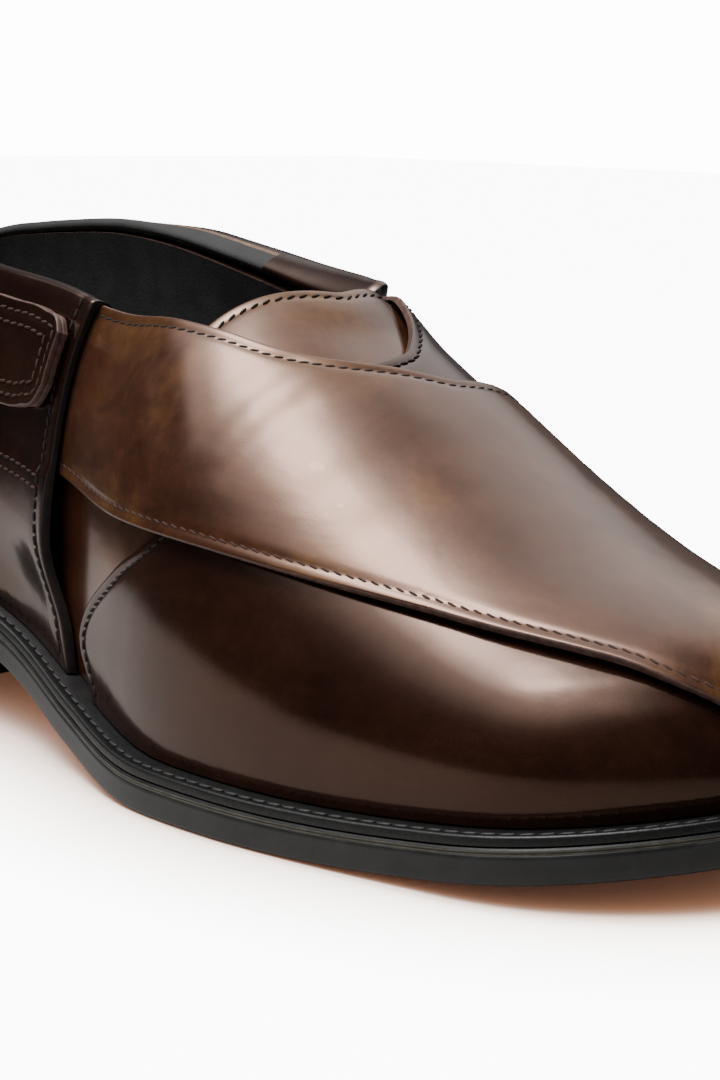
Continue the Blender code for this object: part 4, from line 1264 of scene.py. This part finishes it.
def tab_layer(name, low, high):
    edges = tab_edges(1 - (1 - np.linspace(0, 1, TAB_ROWS + 1)) ** TAB_CROWD)
    turn, girth = across_strap(edges, edge_shares(tab_width(edges), TAB_COLUMNS_INSIDE))
    lift = tab_lift(turn, girth)
    base = skin(turn, girth, lift)
    edge_gap = path_distance(base, np.concatenate([base[:, 0], base[-1], base[::-1, -1]]))
    outer = skin(turn, girth, lift + high - edge_fall(edge_gap))
    data = wall(outer, skin(turn, girth, lift + low), CUT * cells_at(edge_gap < CUT_DEPTH))
    piece = mesh_piece(name, *data, [DARK_SHINE, FLESH_SIDE, CUT_EDGE])
    return piece


def fastening_strap():
    lower = tab_layer("tab_lower_layer", 0.0, (TAB_THICKNESS - TAB_PARTING) / 2)
    tab_layer("tab_upper_layer", (TAB_THICKNESS + TAB_PARTING) / 2, TAB_THICKNESS)
    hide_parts("fastening_strap")


# Bottom: pieces stacked from level outlines
BOTTOM_TURNS = 241
BOTTOM_ACROSS = 9
HEEL_TURNS = 81
INSOLE_TURNS = 161


def plan_grid(turns, inset, height):
    """Level grid inside the outline; height gives its Z at each X."""
    outer, inner = (plan_point(turns, np.full_like(turns, side), inset)[:, None] for side in (-1.0, 1.0))
    share = np.linspace(0, 1, BOTTOM_ACROSS)[None, :, None]
    flat = outer * (1 - share) + inner * share
    return np.concatenate([flat, height(flat[..., 0])[..., None]], -1)


def stacked(levels, bands=None, cap_slot=0):
    """Closed block from level grids, with a material slot for each band of its side."""
    rows, across = levels[0].shape[:2]
    count = rows * across
    number = np.arange(count).reshape(rows, across)
    border = np.concatenate([number[:, 0], number[-1, 1:], number[-2::-1, -1], number[0, -2:0:-1]]).tolist()
    last = (len(levels) - 1) * count
    faces = []
    for i in range(rows - 1):
        for j in range(across - 1):
            ring = number[[i, i, i + 1, i + 1], [j, j + 1, j + 1, j]]
            faces += [ring.tolist(), (ring[::-1] + last).tolist()]
    slots = [cap_slot] * len(faces)
    for low, slot in zip(range(0, last, count), bands or [0] * len(levels)):
        for a, b in zip(border, border[1:] + border[:1]):
            faces.append([a + low, b + low, b + low + count, a + low + count])
        slots += [slot] * len(border)
    return *only_used(np.concatenate([level.reshape(-1, 3) for level in levels]), faces), slots


def over_ground(height):
    return lambda x: ground_z(x) + height


# Side of the outsole from the floor up: inset and height in millimetres, material of the band above
SOLE_SIDE_PROFILE = (
    (0.80, 0.00, 0),
    (0.35, 0.14, 0),
    (0.08, 0.42, 0),
    (0.00, 0.80, 0),
    (0.03, 2.40, 0),
    (0.03, 4.40, 0),
    (0.00, 5.20, 0),
    (0.14, 5.34, 1),
    (0.08, 5.46, 1),
    (0.08, 5.66, 0),
    (0.14, 5.78, 0),
    (0.14, 5.90, 1),
    (0.08, 5.98, 1),
    (0.10, 6.18, 0),
    (0.20, 6.30, 0),
    (0.40, 6.60, 0),
)


def outsole():
    turns = np.linspace(0, 1, BOTTOM_TURNS)
    rows = [(inset * MM, height * MM) for inset, height, band in SOLE_SIDE_PROFILE]
    rows += [(RAISED_MIDDLE_INSET, OUTSOLE_EDGE), (RAISED_MIDDLE_INSET + RAISED_MIDDLE_SLOPE, SOLE_EDGE)]
    levels = [plan_grid(turns, inset, over_ground(height)) for inset, height in rows]
    bands = [band for inset, height, band in SOLE_SIDE_PROFILE] + [0]
    piece = mesh_piece("outsole_leather", *stacked(levels, bands, 2), [SOLE_SIDE, SOLE_LINE, SOLE_FACE])
    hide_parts("outsole")


def heel_level(inset, height):
    """Heel outline with a bowed breast."""
    turns = np.linspace(0, float(turn_of(HEEL_BREAST)), HEEL_TURNS)
    level = plan_grid(turns, inset, height)
    bow = HEEL_BOW * (1 - np.linspace(-1, 1, BOTTOM_ACROSS) ** 2)
    level[..., 0] -= bow[None] * (np.linspace(0, 1, len(turns)) ** 3)[:, None]
    return level


HEEL_LIFTS = 3
LIFT_GROOVE = 0.16 * MM
# Side of one lift: share of its height, and inset
LIFT_SIDE = ((0.0, LIFT_GROOVE), (0.03, 0.0), (0.97, 0.0), (1.0, LIFT_GROOVE))
# Sides of the top piece and the insole from below: inset and height
TOP_PIECE_SIDE = ((TOP_PIECE_BEVEL, 0.0), (0.2 * MM, 0.2 * MM), (0.0, TOP_PIECE_BEVEL),
                  (0.0, TOP_PIECE - 0.25 * MM), (0.25 * MM, TOP_PIECE))
INSOLE_SIDE = ((0.0, 0.0), (0.0, INSOLE_THICKNESS - 0.6 * MM),
               (0.2 * MM, INSOLE_THICKNESS - 0.2 * MM), (0.8 * MM, INSOLE_THICKNESS))


def heel():
    low = TOP_PIECE + LAP_GAP
    levels = []
    for lift in range(HEEL_LIFTS):
        for edge, groove in LIFT_SIDE:
            share = (lift + edge) / HEEL_LIFTS
            inset = HEEL_TAPER + (HEEL_SETBACK - HEEL_TAPER) * share + groove
            levels.append(heel_level(inset, lambda x, s=share: low + (ground_z(x) - LAP_GAP - low) * s))
    piece = mesh_piece("heel_stack", *stacked(levels), [SOLE_SIDE])
    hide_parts("heel")


def top_piece():
    levels = [heel_level(HEEL_TAPER + more, lambda x, z=height: np.full_like(x, z))
              for more, height in TOP_PIECE_SIDE]
    piece = mesh_piece("heel_top_piece", *stacked(levels), [RUBBER])
    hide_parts("top_piece")


def insole():
    turns = np.linspace(0, 1, INSOLE_TURNS)
    inset = LAST_INSET + INSOLE_CLEARANCE
    levels = [plan_grid(turns, inset + more, over_ground(SEAT + height)) for more, height in INSOLE_SIDE]
    piece = mesh_piece("insole_leather_board", *stacked(levels), [INSOLE_LEATHER])
    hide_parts("insole")


# Welt: narrow strip with a sewn channel
WELT_STITCH_INSET = 2.7 * MM
WELT_CHANNEL = 0.3 * MM
WELT_CORNER = 0.3 * WELT_ROUND
# Across the channel: step from its middle, and share of its depth
CHANNEL_SIDE = ((-0.8 * MM, 0.0), (-0.4 * MM, 0.5), (0.0, 1.0), (0.4 * MM, 0.5), (0.8 * MM, 0.0))


def welt_section():
    """Inset and height round the welt, with the channel that its stitches lie in."""
    low = OUTSOLE_EDGE + LAP_GAP
    high = SOLE_EDGE
    channel = [(WELT_STITCH_INSET + step, high - share * WELT_CHANNEL) for step, share in CHANNEL_SIDE]
    return [
        (WELT_SETBACK, low),
        (WELT_SETBACK, high - WELT_ROUND),
        (WELT_SETBACK + WELT_CORNER, high - WELT_CORNER),
        (WELT_SETBACK + WELT_ROUND, high),
        *channel,
        (WELT_SETBACK + WELT_WIDTH, high),
        (WELT_SETBACK + WELT_WIDTH, low),
    ]


def welt_ring(inset, height):
    turns = np.linspace(0, 1, BOTTOM_TURNS)
    outer, inner = (plan_point(turns, np.full_like(turns, side), inset) for side in (-1.0, 1.0))
    loop = np.concatenate([outer, inner[-2:0:-1]])
    return np.column_stack([loop, ground_z(loop[:, 0]) + height])


def welt():
    rings = [welt_ring(inset, height) for inset, height in welt_section()]
    around = len(rings[0])
    faces = []
    for k in range(len(rings)):
        low = k * around
        high = (k + 1) % len(rings) * around
        for a in range(around):
            b = (a + 1) % around
            faces.append([low + b, low + a, high + a, high + b])
    piece = mesh_piece("welt_strip", np.concatenate(rings), faces, [0] * len(faces), [WELT_BLACK])
    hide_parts("welt")


# Rows of stitches: points along the lines that they follow
STRAP_LINE = 400
CAP_LINE = 120
QUARTER_LINE = 120
SEAM_LINE = 160
TAB_LINE = 260
# Where rows start and end, how high the seam's rows meet the quarter's front, and their drops
SEWN_FIRST = 0.03
SEWN_LAST = 0.985
SEWN_GIRTH = 0.999
SEAM_MEETS_FRONT = 0.45
SEAM_ROW_DROPS = (0.016, 0.040)
# Rows round the tab: insets, and how much sooner each one turns back
TAB_ROW_INSETS = (STITCH_INSET, 2.1 * STITCH_INSET)
TAB_ROW_STEP = 0.018


def welt_stitches():
    ring = welt_ring(WELT_STITCH_INSET, SOLE_EDGE - WELT_CHANNEL)
    path = np.vstack([ring, ring[:1]])
    up = np.tile(np.array([0.0, 0.0, 1.0]), (len(path), 1))
    row = stitch_row("welt_stitches", path, up, slant=9, thread=GREY_THREAD, pitch=3.5 * MM,
                     length=3.0 * MM, width=0.8 * MM, height=0.6 * MM, sink=0.25)


def strap_stitches(over, under):
    """Rows beside the edges of both crossed straps."""
    along = np.linspace(0.0, 1.0, STRAP_LINE)
    lift = over_lift(along) + SEWN_FACE
    edges = over_strap_edges(along)
    row = edge_stitches("over_strap_upper_stitches", over, edges[0], edges[1], lift, -STITCH_INSET,
                        slant=-12, thread=BLACK_THREAD)
    near = along < LOWER_EDGE_ENDS
    start = float(turn_of(TOE_CAP_STATION))
    cap = np.linspace(0, 1, CAP_LINE)
    cap_turn = start + (1 - start) * cap
    inner_girth = cap_curve("inner girth", cap)
    inner_open = inner_girth < SEWN_GIRTH
    turn = np.concatenate([edges[2][near], cap_turn, cap_turn[inner_open][-2::-1]])
    girth = np.concatenate([edges[3][near], -cap_curve("outer girth", cap), inner_girth[inner_open][-2::-1]])
    lift = np.concatenate([lift[near], np.full(len(turn) - near.sum(), OVER_LIFT + SEWN_FACE)])
    row = edge_stitches("over_strap_lower_stitches", over, turn, girth, lift, STITCH_INSET,
                        slant=14, thread=BROWN_THREAD)
    turn, girth = strap_edges(under_curve, 1.0, along)[:2]
    row = edge_stitches("under_strap_stitches", under, turn, girth, under_lift(turn, girth) + SEWN_FACE,
                        STITCH_INSET, slant=-12, thread=BLACK_THREAD)


def throat_stitches():
    turn, girth, kept = upper_grid()
    place = UPPER_REAR + int(np.argmin(np.abs(EDGE_OFFSETS - STITCH_INSET))), slice(UPPER_BAND, -UPPER_BAND)
    stand = tongue_stand(STITCH_INSET, girth[place])
    row = skin_stitches("throat_stitches", turn[place], girth[place], WALL + stand - TROUGH_DEPTH,
                        slant=20, thread=BLACK_THREAD)


def quarter_stitches():
    level = np.linspace(SEWN_FIRST, SEWN_LAST, QUARTER_LINE)
    for side, name in ((-1.0, "outer"), (1.0, "inner")):
        turn = quarter_front(level, side) * (1 - STITCH_INSET / QUARTER_FOOT)
        girth = side * (1 - collar_rise(turn, side) * level)
        row = skin_stitches("quarter_front_stitches_" + name, turn, girth,
                            quarter_face(turn, girth) - TROUGH_DEPTH, slant=10, thread=BLACK_THREAD)
        turn = np.linspace(0.0, float(quarter_front(SEAM_MEETS_FRONT, side)) * SEWN_LAST, SEAM_LINE)
        for drop in SEAM_ROW_DROPS:
            girth = side * (1 - seam_rise(turn) - SEAM_SLOPE / 2 + drop)
            lift = quarter_lift(turn, girth) + LEATHER + SEAM_STEP
            row = skin_stitches("quarter_seam_stitches_%s_%d" % (name, drop * 1000), turn, girth, lift,
                                slant=8, thread=BROWN_THREAD)


def tab_stitches():
    along = np.linspace(0.0, SEWN_LAST, TAB_LINE)
    edges = tab_edges(along)
    for rank, inset in enumerate(TAB_ROW_INSETS):
        share = inset / tab_width(edges)
        keep = along < 1 - TAB_ROW_STEP * (rank + 1)
        turn = edges[0][keep]
        top = (edges[1] * (1 - share) + edges[3] * share)[keep]
        bottom = (edges[1] * share + edges[3] * (1 - share))[keep]
        turns = np.concatenate([turn, turn[::-1]])
        girth = np.concatenate([top, bottom[::-1]])
        lift = tab_lift(turns, girth) + TAB_THICKNESS - TROUGH_DEPTH * (rank == 0)
        row = skin_stitches("tab_stitches_%d" % rank, turns, girth, lift, slant=8, thread=BROWN_THREAD)


upper()
under = under_strap()
over = over_strap()
quarter()
fastening_strap()
welt()
outsole()
heel()
top_piece()
insole()
welt_stitches()
strap_stitches(over, under)
throat_stitches()
quarter_stitches()
tab_stitches()


# Stage: floor, studio sky and camera
BACKDROP_LEVEL = 14.0
FLOOR_GLOW = 10.0
FLOOR_COLOUR = (0.86, 0.855, 0.85, 1.0)
FLOOR_ROUGHNESS = 0.16
FLOOR_REACH = 4.0
FLOOR_DROP = 0.2 * MM
# Floor colour seen only in the shoe's reflections: painted light near a spot, painted shade far from it
FLOOR_PAINTED_LIGHT_NEAR = (0.55, 0.53, 0.51)
FLOOR_PAINTED_SHADE_FAR = (0.03, 0.03, 0.03)
FLOOR_PAINTED_LIGHT_SPOT = (-0.10, -0.03, 0.0)
FLOOR_DARK_FROM = 0.17
FLOOR_DARK_TO = 0.42
CONTACT_REACH = 0.05
# Painted contact shadow in the floor's glow, darkest closest to the shoe, with a painted brown tint of light
# reflected from the tan sole in its middle stops
CONTACT_SHADE = (
    (0.00, (0.002, 0.001, 0.001)),
    (0.35, (0.040, 0.018, 0.009)),
    (0.60, (0.170, 0.110, 0.075)),
    (0.85, (0.640, 0.600, 0.560)),
    (1.00, (1.000, 1.000, 1.000)),
)


def camera_switch(tree, hidden, shown, output):
    """One shader for camera rays and another for all other rays."""
    both = tree.nodes.new("ShaderNodeMixShader")
    seen = tree.nodes.new("ShaderNodeLightPath").outputs["Is Camera Ray"]
    for socket, source in enumerate((seen, hidden, shown)):
        tree.links.new(source, both.inputs[socket])
    tree.links.new(both.outputs["Shader"], tree.nodes[output].inputs["Surface"])


def floor():
    """Pale floor: white to the camera; in the shoe's reflections a grey with a painted pool of light round a
    spot near the shoe, fading to painted shade farther off.
    """
    mesh = bpy.data.meshes.new("floor")
    corners = [(-1, -1), (1, -1), (1, 1), (-1, 1)]
    mesh.from_pydata([(x * FLOOR_REACH, y * FLOOR_REACH, 0) for x, y in corners], [], [(0, 1, 2, 3)])
    one, tree, shader = node_tree("floor_white")
    set_inputs(shader, Base_Color=FLOOR_COLOUR, Roughness=FLOOR_ROUGHNESS, Emission_Strength=FLOOR_GLOW)
    # Ambient occlusion darkens the floor's glow: a painted contact shadow under the shoe
    contact = add(tree, "ShaderNodeAmbientOcclusion", Distance=CONTACT_REACH)
    tree.links.new(ramp(tree, contact.outputs["AO"], CONTACT_SHADE), shader.inputs["Emission Color"])
    place = tree.nodes.new("ShaderNodeTexCoord").outputs["Object"]
    away = vector_math(tree, "DISTANCE", place, FLOOR_PAINTED_LIGHT_SPOT)
    # Painted pool of light on the floor, fading to painted shade, seen only in reflections
    painted_floor_light = ramp(tree, away, ((FLOOR_DARK_FROM, FLOOR_PAINTED_LIGHT_NEAR), (FLOOR_DARK_TO, FLOOR_PAINTED_SHADE_FAR)))
    painted_light_floor = tree.nodes.new("ShaderNodeBsdfDiffuse")
    tree.links.new(painted_floor_light, painted_light_floor.inputs["Color"])
    camera_switch(tree, painted_light_floor.outputs["BSDF"], shader.outputs["BSDF"], "Material Output")
    mesh.materials.append(one)
    plane = bpy.data.objects.new("floor", mesh)
    plane.location = (0, 0, -FLOOR_DROP)
    bpy.context.scene.collection.objects.link(plane)


# Soft lamps of the studio: direction, then brightness against the cosine of the angle from it
KEY_DIRECTION = (-0.13, -0.27, 0.95)
KEY_FALL = (
    (0.50, 0.05),
    (0.70, 0.12),
    (0.80, 0.50),
    (0.87, 1.50),
    (0.91, 2.60),
    (0.95, 4.00),
    (0.98, 11.0),
    (0.995, 24.0),
)
BACK_DIRECTION = (-0.25, 0.62, 0.74)
BACK_FALL = (
    (0.60, 0.00),
    (0.86, 0.12),
    (0.93, 0.90),
    (0.98, 1.80),
)


def soft_lamp(tree, place, direction, fall):
    """Brightness of the sky that falls off with the angle from a direction."""
    along = vector_math(tree, "DOT_PRODUCT", place, Vector(direction).normalized())
    brightest = max(value for at, value in fall)
    back = add(tree, "ShaderNodeBackground", Strength=brightest)
    tree.links.new(ramp(tree, along, [(at, (value / brightest,) * 3) for at, value in fall]),
                   back.inputs["Color"])
    return back.outputs["Background"]


def sky():
    """Studio round the shoe: dark walls, a key softbox overhead, a softer one behind, a white backdrop."""
    world = bpy.data.worlds.new("studio")
    bpy.context.scene.world = world
    world.use_nodes = True
    tree = world.node_tree
    place = tree.nodes.new("ShaderNodeTexCoord").outputs["Generated"]
    lamps = tree.nodes.new("ShaderNodeAddShader")
    tree.links.new(soft_lamp(tree, place, KEY_DIRECTION, KEY_FALL), lamps.inputs[0])
    tree.links.new(soft_lamp(tree, place, BACK_DIRECTION, BACK_FALL), lamps.inputs[1])
    backdrop = tree.nodes["Background"]
    set_inputs(backdrop, Color=(1.0, 1.0, 1.0, 1.0), Strength=BACKDROP_LEVEL)
    camera_switch(tree, lamps.outputs["Shader"], backdrop.outputs["Background"], "World Output")


# The photograph's view of the shoe: picture 1080 high, focal length in its pixels
PHOTO_HEIGHT = 1080
PHOTO_FOCAL = 2544.2
PHOTO_TARGET = (220.6442 * MM, -32.0497 * MM, 55.3882 * MM)
PHOTO_AZIMUTH = 0.7898
PHOTO_ELEVATION = 0.1713
PHOTO_ROLL = 0.0252
PHOTO_DISTANCE = 460.66 * MM
# The camera's own sensor is in millimetres, as its lens is
SENSOR_WIDTH = 36.0
NEAREST_SEEN = 10 * MM


def camera():
    data = bpy.data.cameras.new("camera")
    eye = bpy.data.objects.new("camera", data)
    bpy.context.scene.collection.objects.link(eye)
    flat = math.cos(PHOTO_ELEVATION)
    level = np.array([math.cos(PHOTO_AZIMUTH), math.sin(PHOTO_AZIMUTH), 0.0])
    back = np.array([level[1] * flat, -level[0] * flat, math.sin(PHOTO_ELEVATION)])
    up = np.cross(back, level)
    right = math.cos(PHOTO_ROLL) * level + math.sin(PHOTO_ROLL) * up
    above = math.cos(PHOTO_ROLL) * up - math.sin(PHOTO_ROLL) * level
    place = np.array(PHOTO_TARGET) - ORIGIN + back * PHOTO_DISTANCE
    eye.matrix_world = Matrix([*np.column_stack([right, above, back, place]).tolist(), [0, 0, 0, 1]])
    data.sensor_width = SENSOR_WIDTH
    data.lens = data.sensor_width * PHOTO_FOCAL / PHOTO_HEIGHT
    data.clip_start = NEAREST_SEEN
    bpy.context.scene.camera = eye


floor()
sky()
camera()
